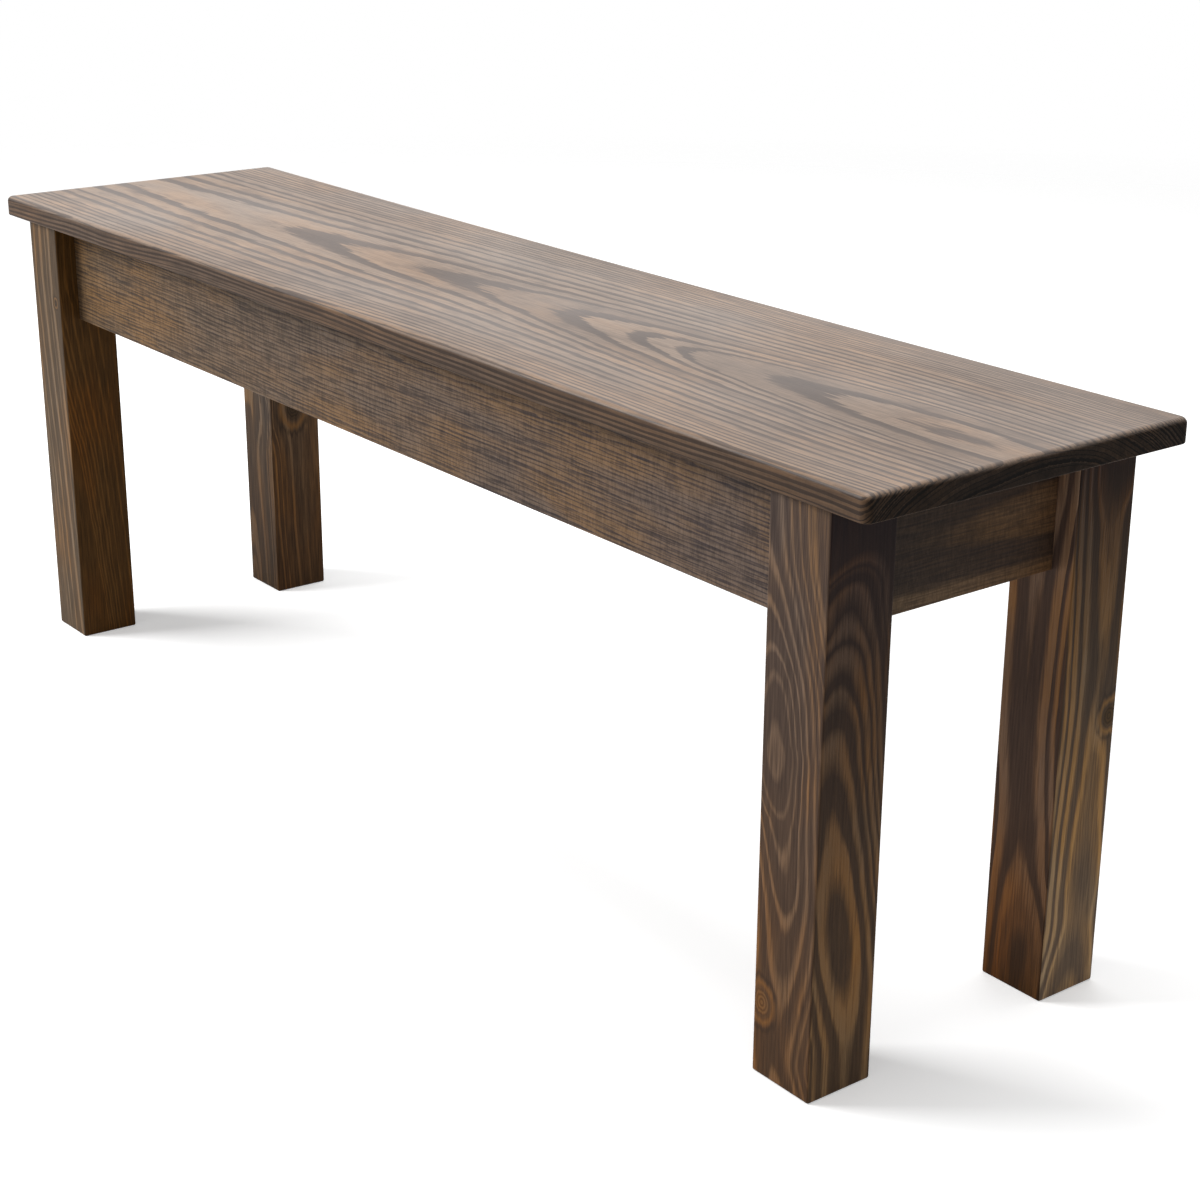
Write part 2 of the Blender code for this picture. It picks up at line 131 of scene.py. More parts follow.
def pick(piece):
    """Select a piece and nothing else."""
    bpy.ops.object.select_all(action="DESELECT")
    piece.select_set(True)
    bpy.context.view_layer.objects.active = piece


def stand(piece, place, up, front):
    """Turn a piece made round the Z axis so that its top points up and its X side to the front."""
    up, front = Vector(up).normalized(), Vector(front).normalized()
    turn = Matrix((front, up.cross(front), up)).transposed()
    pick(piece)
    piece.rotation_euler = turn.to_euler()
    piece.location = place
    bpy.ops.object.transform_apply()


def cut_away(piece, cutter, operation="DIFFERENCE"):
    """Cut the shape of one piece out of another and throw the cutter away."""
    apply_modifier(piece, "BOOLEAN", operation=operation, solver="EXACT", object=cutter)
    bpy.data.objects.remove(cutter)


def drill(piece, start, direction, depth, diameter):
    """Bore a round hole, begun a little outside the face that it enters."""
    direction = Vector(direction).normalized()
    lead = 0.002
    bore = diameter + 2 * HOLE_CLEARANCE
    cut_away(piece, start_bar(Vector(start) - direction * lead, direction, depth + lead, bore))


def smooth(piece):
    """Shade rounds smooth, and keep the broad faces looking flat."""
    pick(piece)
    bpy.ops.object.shade_smooth_by_angle(angle=SMOOTH_BELOW)
    apply_modifier(piece, "WEIGHTED_NORMAL", keep_sharp=True)


def fit(piece, node, material):
    """Stand a finished piece in for its node of the frame."""
    piece.data.materials.clear()
    piece.data.materials.append(material)
    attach(piece, "root")
    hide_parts(node)


def middle_of(node):
    low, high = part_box(node)
    return (low + high) / 2


class Wire:
    """A value, vector or colour on its way through a finish. Sums on it become Math nodes."""

    def __init__(self, tree, socket=None):
        self.tree = tree
        self.socket = socket

    def node(self, kind, settings=None, sockets=None, output=0):
        """Add a node: its settings first, then the values or links of its sockets."""
        made = self.tree.nodes.new("ShaderNode" + kind)
        for name, value in (settings or {}).items():
            if name == "stops":
                self.place_stops(made.color_ramp, value)
            elif name == "ramp":
                made.color_ramp.interpolation = value
            else:
                setattr(made, name, value)
        for name, value in (sockets or {}).items():
            self.join(value, made.inputs[name])
        return Wire(self.tree, made.outputs[output])

    def place_stops(self, ramp, stops):
        for number, (place, colour) in enumerate(stops):
            if number < len(ramp.elements):
                ramp.elements[number].position = place
            else:
                ramp.elements.new(place)
            ramp.elements[number].color = (*colour, 1.0)

    def join(self, value, socket):
        """Link a wire to a socket, or set the socket to a plain value."""
        if isinstance(value, Wire):
            self.tree.links.new(value.socket, socket)
        elif socket.type == "RGBA":
            socket.default_value = (*value, 1.0)
        else:
            socket.default_value = value

    def also(self, output):
        """Another output of the node that this wire comes from."""
        return Wire(self.tree, self.socket.node.outputs[output])

    def maths(self, operation, *others):
        return self.node("Math", {"operation": operation}, dict(enumerate((self, *others))))

    def vector(self, operation, *others, output=0):
        return self.node("VectorMath", {"operation": operation}, dict(enumerate((self, *others))), output)

    def clamped(self):
        return self.node("Clamp", {}, {0: self})

    def __add__(self, other):
        return self.maths("ADD", other)

    def __sub__(self, other):
        return self.maths("SUBTRACT", other)

    def __rsub__(self, other):
        return self.node("Math", {"operation": "SUBTRACT"}, {0: other, 1: self})

    def __mul__(self, other):
        return self.maths("MULTIPLY", other)

    def __truediv__(self, other):
        return self.maths("DIVIDE", other)

    __radd__ = __add__
    __rmul__ = __mul__


def new_finish(name):
    """A material with its nodes: the material, its tree and its shader."""
    material = bpy.data.materials.new(name)
    material.use_nodes = True
    return material, material.node_tree, material.node_tree.nodes["Principled BSDF"]


def roughen(shader, height, strength, distance):
    """Raise a height on the surface of a finish."""
    sockets = {"Height": height, "Strength": strength, "Distance": distance}
    bump = height.node("Bump", {}, sockets)
    bump.join(bump, shader.inputs["Normal"])


def blend(mask, first, second):
    """One colour passing into another where the mask rises from 0 to 1."""
    return mask.node("Mix", {"data_type": "RGBA"}, {0: mask, 6: first, 7: second}, output=2)


def shaded(colour, level):
    """A colour made darker or lighter by a level."""
    settings = {"data_type": "RGBA", "blend_type": "MULTIPLY", "clamp_factor": False}
    return colour.node("Mix", settings, {0: 1.0, 6: colour, 7: level}, output=2)


def patches(at, size, seed, detail=1.0, output=0):
    """Soft random change over patches of a size along, across and into the board."""
    scale = [1.0 / length for length in size]
    offset = (seed, 1.7 * seed, 0.3 * seed)
    spread = at.node("Mapping", {}, {"Vector": at, "Location": offset, "Scale": scale})
    return spread.node("TexNoise", {}, {"Vector": spread, "Scale": 1.0, "Detail": detail}, output)


def board_place(tree, start, along, across, inward):
    """Millimetres along, across and into a board, from a start point on its face."""
    axes = Matrix((along, across, inward))
    hand = axes.determinant()
    turn = (axes @ Matrix.Diagonal((1, 1, hand))).to_euler()
    place = Wire(tree).node("TexCoord", output=3)
    sockets = {
        "Vector": place,
        "Location": axes @ Vector(start) * -MM,
        "Rotation": turn,
        "Scale": (MM, MM, MM * hand),
    }
    return place.node("Mapping", {}, sockets)


def pith_line(at, points):
    """The heart of the log along a board, and how far its rings are squeezed there.

    Each point is a place along the board, the heart's place across and inward,
    and the squeeze: 1 or none for round rings, more for rings flattened sideways.
    """
    first, last = points[0][0], points[-1][0]
    share = (at.node("SeparateXYZ", {}, {0: at}) - first) / (last - first)
    stops = []
    for along, across, inward, *squeezed in points:
        squeeze = squeezed[0] if squeezed else 1
        colour = (squeeze / PITH_SPAN, across / PITH_SPAN + 0.5, inward / PITH_SPAN + 0.5)
        stops.append(((along - first) / (last - first), colour))
    line = share.node("ValToRGB", {"ramp": "CARDINAL", "stops": stops}, {0: share})
    squeeze = line.node("SeparateXYZ", {}, {0: line}) * PITH_SPAN
    heart = line.vector("MULTIPLY_ADD", (0, PITH_SPAN, PITH_SPAN), (0, -PITH_SPAN / 2, -PITH_SPAN / 2))
    return heart, squeeze


def ring_paleness(radius, rings):
    """How pale the wood is at a distance from the heart, from a list of distances and paleness."""
    first, last = rings[0][0], rings[-1][0]
    stops = [((place - first) / (last - first), (pale,) * 3) for place, pale in rings]
    share = (radius - first) / (last - first)
    return share.node("ValToRGB", {"stops": stops}, {0: share})


def grown_years(radius, growth, ring):
    """Years grown at a distance from the heart, from a list of the distances where each year ended."""
    first, last = growth[0], growth[-1]
    count = len(growth) - 1
    stops = [((ended - first) / (last - first), (year / count,) * 3) for year, ended in enumerate(growth)]
    share = (radius - first) / (last - first)
    past = (radius - last).maths("MAXIMUM", 0.0) + (radius - first).maths("MINIMUM", 0.0)
    return share.node("ValToRGB", {"stops": stops}, {0: share}) * count + past / ring


def crowding(radius, pace, seed):
    """Years set closer here and wider there, along the distance from the heart."""
    return radius.node("TexNoise", {"noise_dimensions": "1D"}, {"W": radius * pace + seed, "Scale": 1.0})


def bend_round_knot(at, from_pith, place, way, radius, depth, rough):
    """Bend the grain round the branch that left a knot, and give its core, its pale rim and its bark."""
    apart = at.vector("SUBTRACT", place)
    beside = apart.vector("MULTIPLY", (0.75, 1 - abs(way[1]), 1 - abs(way[2])))
    reach = beside.vector("LENGTH", output=1) * (0.7 + rough * 0.6)
    inside = ((apart.vector("DOT_PRODUCT", way, output=1) + depth) / 8.0).clamped()
    near = reach / (radius * 2.2)
    push = (near * near * -1.0).maths("EXPONENT") * inside * -0.85
    aside = beside.node("VectorMath", {"operation": "SCALE"}, {0: beside, "Scale": push})
    core = ((radius - reach) / (radius * 0.4) * inside).clamped()
    rim = (1.0 - ((reach - radius * 1.25) / (radius * 0.35)).maths("ABSOLUTE")).clamped() * inside
    bark = (1.0 - ((reach - radius * 1.75) / (radius * 0.25)).maths("ABSOLUTE")).clamped() * inside
    return from_pith.vector("ADD", aside), core, rim, bark, reach


def pine(
    name,
    start,
    along,
    across,
    inward,
    pith,
    rings=None,
    right_pith=None,
    right_rings=None,
    growth=None,
    side_heart=None,
    side_ring=3.6,
    ring=3.5,
    late=0.30,
    soft=0.45,
    wander=4.0,
    uneven=1.0,
    feather=0.4,
    broken=0.35,
    contrast=1.0,
    early_colour=(0.070, 0.044, 0.030),
    late_colour=(0.240, 0.150, 0.085),
    gold_colour=(0.290, 0.145, 0.052),
    gold=0.3,
    blotches=0.0,
    lean=0.0,
    sawn=0.0,
    end_level=0.25,
    painted_shade_and_tone=((1, 1, 1), (1, 1, 1)),
    right_painted_shade_and_tone=None,
    length=438.0,
    knots=(),
    sheen=0.0,
    edge_tone_and_painted_shade=(1, 1, 1),
    seed=0.0,
):
    """Pine sawn from a log whose growth rings lie round a pith line.

    Each knot has a place, the way its branch points, a radius, how deep it
    reaches and how light it is.
    """
    material, tree, shader = new_finish(name)
    at = board_place(tree, start, along, across, inward)

    # Distance from the pith; a face to the right may follow a heart line of its own
    facing = at.node("NewGeometry", output=1)
    to_right = facing.vector("DOT_PRODUCT", (1, 0, 0), output=1).maths("GREATER_THAN", FACES_THAT_WAY)
    heart, squeeze = pith_line(at, pith)
    if right_pith:
        heart = blend(to_right, heart, pith_line(at, right_pith)[0])
    from_pith = at.vector("SUBTRACT", heart)
    slow = patches(at, (330, 120, 120), seed, output=1)
    drift = slow.vector("MULTIPLY_ADD", (0, wander, wander), (0, -wander / 2, -wander / 2))
    from_pith = from_pith.vector("ADD", drift)
    ragged = patches(at, (45, 3.5, 3.5), seed + 3.1, detail=3.0)
    marks = []
    for place, way, size, depth, level in knots:
        from_pith, *mark = bend_round_knot(at, from_pith, place, way, size, depth, ragged)
        marks.append((*mark, level))
    parts = from_pith.node("SeparateXYZ", {}, {0: from_pith})
    beside = parts.also(1)
    sideways = beside * (squeeze + beside * lean)
    depth = parts.also(2)
    radius = (sideways * sideways + depth * depth).maths("SQRT")

    # Early wood drinks the stain and turns dark, late wood stays light
    if rings:
        radius = radius + (ragged - 0.5) * feather
        pale = ring_paleness(radius, rings)
        if right_rings:
            pale = blend(to_right, pale, ring_paleness(radius, right_rings))
        pale = pale * contrast
    else:
        years = grown_years(radius, growth, ring) if growth else radius / ring
        if uneven:
            years = years + (crowding(radius, 0.045, seed) - 0.5) * uneven * 2.2
        years = years + (ragged - 0.5) * feather
        if side_heart:
            face_on = facing.vector("DOT_PRODUCT", inward, output=1).maths("ABSOLUTE")
            flat = face_on.maths("GREATER_THAN", FACES_THAT_WAY)
            from_side = slow.vector("MULTIPLY_ADD", (0, 0, 26), at).vector("SUBTRACT", (0, *side_heart))
            from_side = from_side.vector("MULTIPLY", (0, 1, 1)).vector("LENGTH", output=1)
            side_years = from_side / side_ring + (crowding(from_side, 0.22, seed) - 0.5) * 2.6
            side_years = side_years + (ragged - 0.5) * feather
            years = flat.node("Mix", {}, {0: flat, 2: side_years, 3: years})
        season = years.maths("FRACT")
        turn = 1.0 - late
        stops = [
            (0.0, (0, 0, 0)),
            (max(turn - soft, 0.03), (0.08,) * 3),
            (turn + 0.02 + soft * 0.2, (0.90,) * 3),
            (0.94, (1, 1, 1)),
            (1.0, (0, 0, 0)),
        ]
        grown_late = season.node("ValToRGB", {"stops": stops}, {0: season})
        year = years.maths("FLOOR")
        strength = year.node("TexWhiteNoise", {"noise_dimensions": "1D"}, {"W": year}) * 0.45 + 0.6
        pale = grown_late * strength * contrast
    streaks = patches(at, (34, 1.5, 1.5), seed + 7.7, detail=3.0)
    dashes = ((streaks - 0.5) * 3.2 + 0.5).clamped()
    clouds = patches(at, (150, 45, 45), seed + 11.3, detail=2.0)
    light = pale * (1.0 - broken + dashes * (2.0 * broken)) + dashes * (0.30 * broken)
    if blotches:
        soaked = patches(at, (15, 40, 40) if sawn > 0.2 else (45, 14, 14), seed + 29.0, detail=4.0)
        light = light * (1.0 - ((soaked - 0.5) * 6.0).clamped() * blotches)

    # Colour
    golden = ((clouds - 0.5) * 5.0 + gold).clamped()
    late_wood = blend(golden, late_colour, gold_colour)
    colour = blend(light.clamped(), early_colour, late_wood)
    tone = 0.46 + clouds * 0.50 + streaks * 0.58
    relief = light * 0.5 + streaks * 0.5
    if sawn:
        combs = patches(at, (3.0, 14, 14), seed + 17.9)
        chatter = patches(at, (1.1, 3.5, 3.5), seed + 23.0, detail=2.0)
        bite = ((combs - 0.5) * 2.4 + (chatter - 0.5) * 2.4 + 0.5).clamped()
        tone = tone * (1.0 + (bite - 0.5) * sawn)
        relief = relief + bite * sawn
    for core, rim, bark, reach, level in marks:
        heartwood = shaded(late_wood, (reach * 2.4).maths("SINE") * 0.25 + 0.75)
        colour = blend(core * 0.9, colour, shaded(heartwood, (level,) * 3))
        colour = blend(rim * 0.8, colour, gold_colour)
        colour = blend(bark * 0.5, colour, [part * 0.5 for part in early_colour])
    # Painted shade and tone: the colour is multiplied by a ramp from the start of the board to its far end,
    # and on faces to the right by a ramp of its own. These ramps set each face's tone and also paint the
    # shade that falls on it, such as the dark tops of the right legs' right faces under the seat.
    down = at.node("SeparateXYZ", {}, {0: at}) / length
    shade_and_tone_here = blend(down.clamped(), *painted_shade_and_tone)
    if right_painted_shade_and_tone:
        shade_and_tone_here = blend(to_right, shade_and_tone_here, blend(down.clamped(), *right_painted_shade_and_tone))
    colour = shaded(colour, shade_and_tone_here)
    end_on = facing.vector("DOT_PRODUCT", along, output=1)
    end_grain = ((end_on.maths("ABSOLUTE") - 0.55) * 2.2).clamped()
    tone = tone * (1.0 - end_grain * (1.0 - (light * 1.5 + 0.35) * end_level))

    # Surface
    if sheen:
        level_up = ((facing.vector("DOT_PRODUCT", (0, 0, 1), output=1) - 0.35) * 1.8).clamped()
        # Painted shade and tone: faces that don't look up, the edges and underside of the seat, are darkened
        # by the edge colour, partly their own darker tone and partly painted shade.
        colour = shaded(colour, blend(level_up, edge_tone_and_painted_shade, (1, 1, 1)))
        gloss = (slow.node("SeparateXYZ", {}, {0: slow}) - 0.5) * 1.4 + 0.72
        coat = level_up * gloss.clamped() * sheen
        coat.join(coat, shader.inputs["Coat Weight"])
        shader.inputs["Coat Roughness"].default_value = 0.38
    colour = shaded(colour, tone)
    colour.join(colour, shader.inputs["Base Color"])
    rough = 0.60 - light * 0.10 + end_grain * 0.15
    rough.join(rough, shader.inputs["Roughness"])
    roughen(shader, relief, 0.55, 0.0004)
    shader.inputs["Specular IOR Level"].default_value = 0.08
    return material


def leg_wood(corner, **figure):
    """Pine for a leg: along runs down from its top, across to the right, inward to the back."""
    low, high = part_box("leg_" + corner)
    start = (low.x, low.y, high.z)
    return pine("leg_pine_" + corner, start, (0, 0, -1), (1, 0, 0), (0, 1, 0), wander=0.0, **figure)


def thin_pale_rings(lines, dark=0.15):
    """Rings as thin pale lines in dark wood: distance from the heart, half width and paleness of each."""
    stops = []
    for place, half, pale in lines:
        stops += [(place - half, dark), (place, pale), (place + half, dark)]
    return stops


# Each leg's figure also gives two ramps of painted shade and tone from its top to its foot, one for the front
# and one for the right face. On the two right legs the right face is painted dark at the top, in the seat's
# shade, and light towards the foot.
leg_figures = {
    "front_left": dict(
        pith=[
            (0, -72, -60), (80, -71, -60), (213, -58.5, -60), (312, -50, -60), (371, -46, -60),
            (438, -41, -60),
        ],
        rings=[
            (84, 0.15), (87, 0.3), (90, 0.12), (92.6, 0.4), (94, 0.1), (98.5, 0.12), (101.2, 0.42),
            (103, 0.1), (109, 0.1), (111.4, 0.45), (112.8, 0.85), (114.2, 0.25), (116, 0.1), (120, 0.1),
            (122.2, 0.35), (123.6, 0.1), (126.5, 0.15), (128.8, 0.8), (130.6, 0.7), (131.6, 0.1),
        ],
        right_rings=thin_pale_rings([
            (134.2, 0.5, 0.7), (135.7, 0.5, 0.5), (137.8, 0.6, 0.8), (139.6, 0.5, 0.4),
            (142.1, 0.7, 0.7), (144.3, 0.6, 0.5), (148.4, 0.8, 0.6), (152.1, 0.8, 0.35),
            (156.7, 0.9, 0.5), (162.1, 1, 0.4),
        ]),
        feather=1.2,
        gold=0.1,
        early_colour=(0.060, 0.040, 0.028),
        knots=[((78, 49, 0), (0, 0, -1), 3.2, 26, 0.35)],
        contrast=2.1,
        painted_shade_and_tone=((0.62, 0.61, 0.55), (0.62, 0.62, 0.56)),
        right_painted_shade_and_tone=((0.69, 0.51, 0.23), (0.65, 0.47, 0.21)),
        seed=2.0,
    ),
    "front_right": dict(
        pith=[
            (0, -8.5, 39), (58, -3, 35.5), (117, 9.5, 27.5), (175, 14, 20), (204, 16, 21),
            (234, 21, 26.5), (292, 29, 31.5), (350, 27, 36.5), (409, 18.5, 39.5), (438, 25.5, 38),
        ],
        rings=[
            (19, 0.35), (20.6, 0.6), (21.6, 0.1), (24.6, 0.1), (25.5, 0.55), (26.3, 0.12), (28.2, 0.15),
            (28.9, 0.85), (29.6, 0.12), (32.3, 0.08), (33.1, 1), (33.9, 0.08), (36.3, 0.12), (37.4, 0.6),
            (38.2, 0.95), (39, 0.1), (40.6, 0.05), (42.5, 0.25), (43.9, 0.75), (44.9, 0.3), (46.1, 0),
            (47.8, 0.3), (48.8, 0.7), (50, 0.1), (53, 0.12), (54.2, 0.6), (55.2, 0.08), (59, 0.2),
            (60.3, 0.75), (62, 0.2), (64.3, 0.7), (67, 0.15),
        ],
        right_pith=[
            (0, -18, 48.5), (49, 2, 24.5), (97, 12.5, 16.5), (146, 22.5, 12), (195, 30, 10.5),
            (243, 34.5, 15), (292, 39.5, 20), (341, 39.5, 27.5), (389, 34, 34), (438, 32.5, 34.5),
        ],
        right_rings=[
            (21, 0), (24.5, 1), (26, 1), (27.5, 0), (30.5, 0), (33.5, 1), (35.5, 0), (38, 0), (40.5, 0.75),
            (41.5, 0), (42.5, 0), (45, 1), (46, 0.75), (47.5, 0), (48, 0), (50, 1), (51.5, 0), (54.5, 0.75),
            (56, 0), (57.5, 0), (59, 0.25), (60, 0), (61.5, 0.5), (64.5, 0),
        ],
        feather=0.9,
        knots=[((379, 8.5, 0), (0, 0, -1), 9.0, 22, 1.0)],
        contrast=1.15,
        painted_shade_and_tone=((0.73, 0.81, 1.04), (0.74, 0.62, 0.49)),
        right_painted_shade_and_tone=((0.20, 0.19, 0.32), (1.28, 1.24, 1.08)),
        seed=5.0,
    ),
    "back_left": dict(
        pith=[
            (0, 8, 54), (226, 8, 45), (330, 8, 41), (438, 8, 36.6),
        ],
        rings=[
            (36.5, 0.1), (37.2, 0.6), (37.8, 0.1), (38.3, 0.7), (39.4, 0.75), (40, 0.1), (44.6, 0.15),
            (45.5, 0.8), (46.8, 0.8), (47.6, 0.15), (50, 0.3), (52, 0.1), (56, 0.1), (56.8, 0.7),
            (57.5, 0.1), (59.5, 0.1), (60.2, 0.8), (61, 0.1), (62.3, 0.6), (63, 0.1), (64.5, 0.8),
            (65.5, 0.1),
        ],
        right_pith=[
            (0, 29.5, -30), (180, 29.5, -30), (360, 29.5, -29.5), (438, 29.5, -25),
        ],
        right_rings=[
            (40, 0.1), (44.6, 0.1), (45.4, 0.6), (46.2, 0.6), (46.9, 0.1), (49.8, 0.1), (50.6, 0.7),
            (51.4, 0.1), (55, 0.3), (57, 0.1), (60.4, 0.15), (61.2, 0.9), (62.4, 0.9), (63.2, 0.2),
            (70, 0.15), (74, 0.35), (76, 0.15), (90, 0.25),
        ],
        feather=0.9,
        knots=[((228, 59, 28), (0, 1, 0), 12.5, 40, 0.3)],
        early_colour=(0.056, 0.035, 0.024),
        contrast=1.6,
        painted_shade_and_tone=((0.76, 0.90, 1.14), (0.24, 0.18, 0.08)),
        right_painted_shade_and_tone=((1.38, 1.44, 1.52), (0.58, 0.46, 0.32)),
        seed=8.0,
    ),
    "back_right": dict(
        pith=[
            (0, 25, 27), (49, 26, 31.5), (97, 26.5, 36.5), (195, 23.5, 38), (243, 24.5, 38.5),
            (292, 29, 38.5), (341, 31, 36), (389, 35.5, 30), (438, 33.5, 29.5),
        ],
        rings=[
            (29.5, 0), (31, 0.25), (33, 0.25), (35, 0.5), (37, 0.5), (38, 0), (40, 0), (41, 0.25), (43, 1),
            (44.5, 1), (45, 0), (46.5, 0), (48, 0.75), (49, 1), (50, 0),
        ],
        right_pith=[
            (0, 35.5, 46), (49, 26, 38.5), (97, 24, 39), (195, 22.5, 40.5), (243, 24.5, 41),
            (292, 26, 39), (341, 28, 39), (389, 27.5, 36.5), (438, 34.5, 30.5),
        ],
        right_rings=[
            (26, 0.25), (28, 0), (31, 0), (35, 0.25), (36, 0.75), (37.5, 0), (39.5, 0), (40.5, 0.25),
            (41.5, 1), (42.5, 0.75), (43.5, 0), (45, 0), (47, 1), (48, 1), (49, 0), (50, 0), (51.5, 0.75),
            (52, 0.75), (53.5, 0),
        ],
        feather=0.9,
        early_colour=(0.074, 0.047, 0.032),
        gold=0.6,
        knots=[((215, 59, 53), (0, 1, 0), 8.0, 30, 0.3)],
        contrast=1.6,
        painted_shade_and_tone=((1.62, 1.64, 1.92), (0.32, 0.19, 0.05)),
        right_painted_shade_and_tone=((0.09, 0.02, 0.00), (2.36, 2.60, 2.66)),
        seed=13.0,
    ),
}
apron_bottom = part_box("apron_front")[0].z
flat_middles = {}
for corner, way in CORNERS.items():
    outward = way.normalized()
    low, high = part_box("leg_" + corner)
    leg = start_timber("post_" + corner, low, high)
    round_over(leg, LEG_ROUND, 4)
    inner_arris = Vector((low.x if way.x > 0 else high.x, low.y if way.y > 0 else high.y, 0))
    flat_middle = inner_arris + outward * LEG_FLAT / 2
    section = high.x - low.x
    flat = start_timber("flat", (-section, -section, apron_bottom), (0, section, 2 * high.z))
    stand(flat, flat_middle, (0, 0, 1), outward)
    cut_away(leg, flat)
    flat_middle.z = middle_of("hanger_bolt_" + corner).z
    flat_middles[corner] = flat_middle
    drill(leg, flat_middle, outward, BOLT_IN_LEG + HOLE_CLEARANCE, BOLT_DIAMETER)
    smooth(leg)
    fit(leg, "leg_" + corner, leg_wood(corner, **leg_figures[corner]))


# Aprons
# Four boards of stained pine set back from the leg faces, sawn across by the
# mill and left with its marks.  Pilot holes, dowel holes and the short slots
# for the seat clips are cut into their back faces.
APRON_ROUND = 0.0010
KERF_HEIGHT = 0.0030
KERF_SIDE_CLEARANCE = 0.0030
SCREW_DIAMETER = 0.0042
DOWEL_DIAMETER = 0.0080
CLIP_STEEL = 0.0016

apron_sides = {
    "front": (Vector((0, -1, 0)), Vector((1, 0, 0))),
    "back": (Vector((0, 1, 0)), Vector((-1, 0, 0))),
    "left": (Vector((-1, 0, 0)), Vector((0, -1, 0))),
    "right": (Vector((1, 0, 0)), Vector((0, 1, 0))),
}
apron_early = (0.070, 0.053, 0.044)
apron_late = (0.215, 0.150, 0.095)
# The front and right aprons carry ramps of painted shade and tone along their length: the front apron is
# painted darker overall, and darker and warmer still at its left end beside the leg, and the short right
# apron much darker overall, in the shade under the seat.
apron_figures = {
    "front": dict(
        pith=[(0, -110, 22), (400, -100, 18), (800, -96, 14), (1080, -92, 12)],
        ring=3.6,
        late=0.4,
        wander=7.0,
        feather=1.3,
        sawn=0.36,
        contrast=1.8,
        broken=0.70,
        blotches=0.40,
        gold=0.45,
        early_colour=apron_early,
        late_colour=apron_late,
        gold_colour=(0.255, 0.150, 0.066),
        painted_shade_and_tone=((0.62, 0.57, 0.50), (0.67, 0.68, 0.83)),
        length=1079.0,
        seed=21.0,
    ),
    "back": dict(
        pith=[(0, 20, 60), (500, 34, 42), (1080, 10, 58)],
        ring=4.0,
        sawn=0.30,
        broken=0.6,
        early_colour=apron_early,
        late_colour=apron_late,
        length=1079.0,
        seed=27.0,
    ),
    "left": dict(
        pith=[(0, 60, 38), (177, 44, 50)],
        ring=3.8,
        sawn=0.3,
        broken=0.6,
        length=176.0,
        seed=31.0,
    ),
    "right": dict(
        pith=[(0, 50, 29), (84, 49, 26), (177, 48, 19)],
        rings=[
            (15, 0.75), (24, 0.72), (26.5, 0.5), (28, 0.12), (34, 0.1), (44, 0.15), (47, 0.5), (51, 1),
            (56, 1), (64, 0.8),
        ],
        lean=0.004,
        feather=3.0,
        sawn=0.4,
        late_colour=(0.400, 0.220, 0.095),
        blotches=0.2,
        painted_shade_and_tone=((0.42, 0.51, 0.70), (0.43, 0.44, 0.52)),
        length=176.0,
        seed=36.0,
    ),
}
screw_names = [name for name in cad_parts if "_screw_" in name]
dowel_names = [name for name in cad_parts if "_dowel_" in name]
clip_names = sorted(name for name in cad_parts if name.startswith("seat_clip_") and "screw" not in name)


def reaches_into(node, low, high, inner, axis):
    """True where a node comes through the inner face of an apron."""
    node_low, node_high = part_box(node)
    crosses = node_low[axis] < inner < node_high[axis]
    other = 1 - axis
    return crosses and low[other] < middle_of(node)[other] < high[other]


for side, (outward, along) in apron_sides.items():
    node = "apron_" + side
    low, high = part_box(node)
    apron = start_timber("board_apron_" + side, low, high)
    round_over(apron, APRON_ROUND, 2)
    axis = 0 if outward.x else 1
    inner = (high if outward[axis] < 0 else low)[axis]
    for name in screw_names + dowel_names:
        if reaches_into(name, low, high, inner, axis):
            spot = middle_of(name)
            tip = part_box(name)[1 if outward[axis] > 0 else 0][axis]
            spot[axis] = inner
            width = DOWEL_DIAMETER if name in dowel_names else SCREW_DIAMETER
            drill(apron, spot, outward, abs(tip - inner) + HOLE_CLEARANCE, width)
    for name in clip_names:
        if reaches_into(name, low, high, inner, axis):
            kerf_low, kerf_high = (corner.copy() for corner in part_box(name))
            kerf_low[1 - axis] -= KERF_SIDE_CLEARANCE
            kerf_high[1 - axis] += KERF_SIDE_CLEARANCE
            kerf_middle = kerf_low.z + CLIP_STEEL / 2
            kerf_low.z = kerf_middle - KERF_HEIGHT / 2
            kerf_high.z = kerf_middle + KERF_HEIGHT / 2
            cut_away(apron, start_timber("kerf", kerf_low, kerf_high))
    smooth(apron)
    face_corner = [(high if outward[axis] - along[axis] > 0 else low)[axis] for axis in range(2)]
    face_start = Vector((*face_corner, high.z))
    wood = pine("apron_pine_" + side, face_start, along, (0, 0, -1), -outward, **apron_figures[side])
    fit(apron, node, wood)


# Corner blocks
# A short length of bare pine mitred to fit across each inside corner, bored
# for the hanger bolt and with four sunk screw holes into the aprons.
BLOCK_THICKNESS = 0.022
BLOCK_LEG_GAP = 0.0008
BLOCK_ROUND = 0.0010
BOLT_BORE = 0.0084
HEAD_DIAMETER = 0.0084
HEAD_HEIGHT = 0.0026
HEAD_SEAT_GAP = 0.0003
HEAD_POCKET_CLEARANCE = 0.0003
block_figures = {
    "front_left": dict(pith=[(0, 26, 58), (60, 40, 56)], seed=61.0),
    "front_right": dict(pith=[(0, 40, -30), (60, 30, -34)], seed=64.0),
    "back_left": dict(pith=[(0, 96, 14), (60, 90, 12)], seed=67.0),
    "back_right": dict(pith=[(0, 32, 40), (60, 38, 46)], seed=70.0),
}


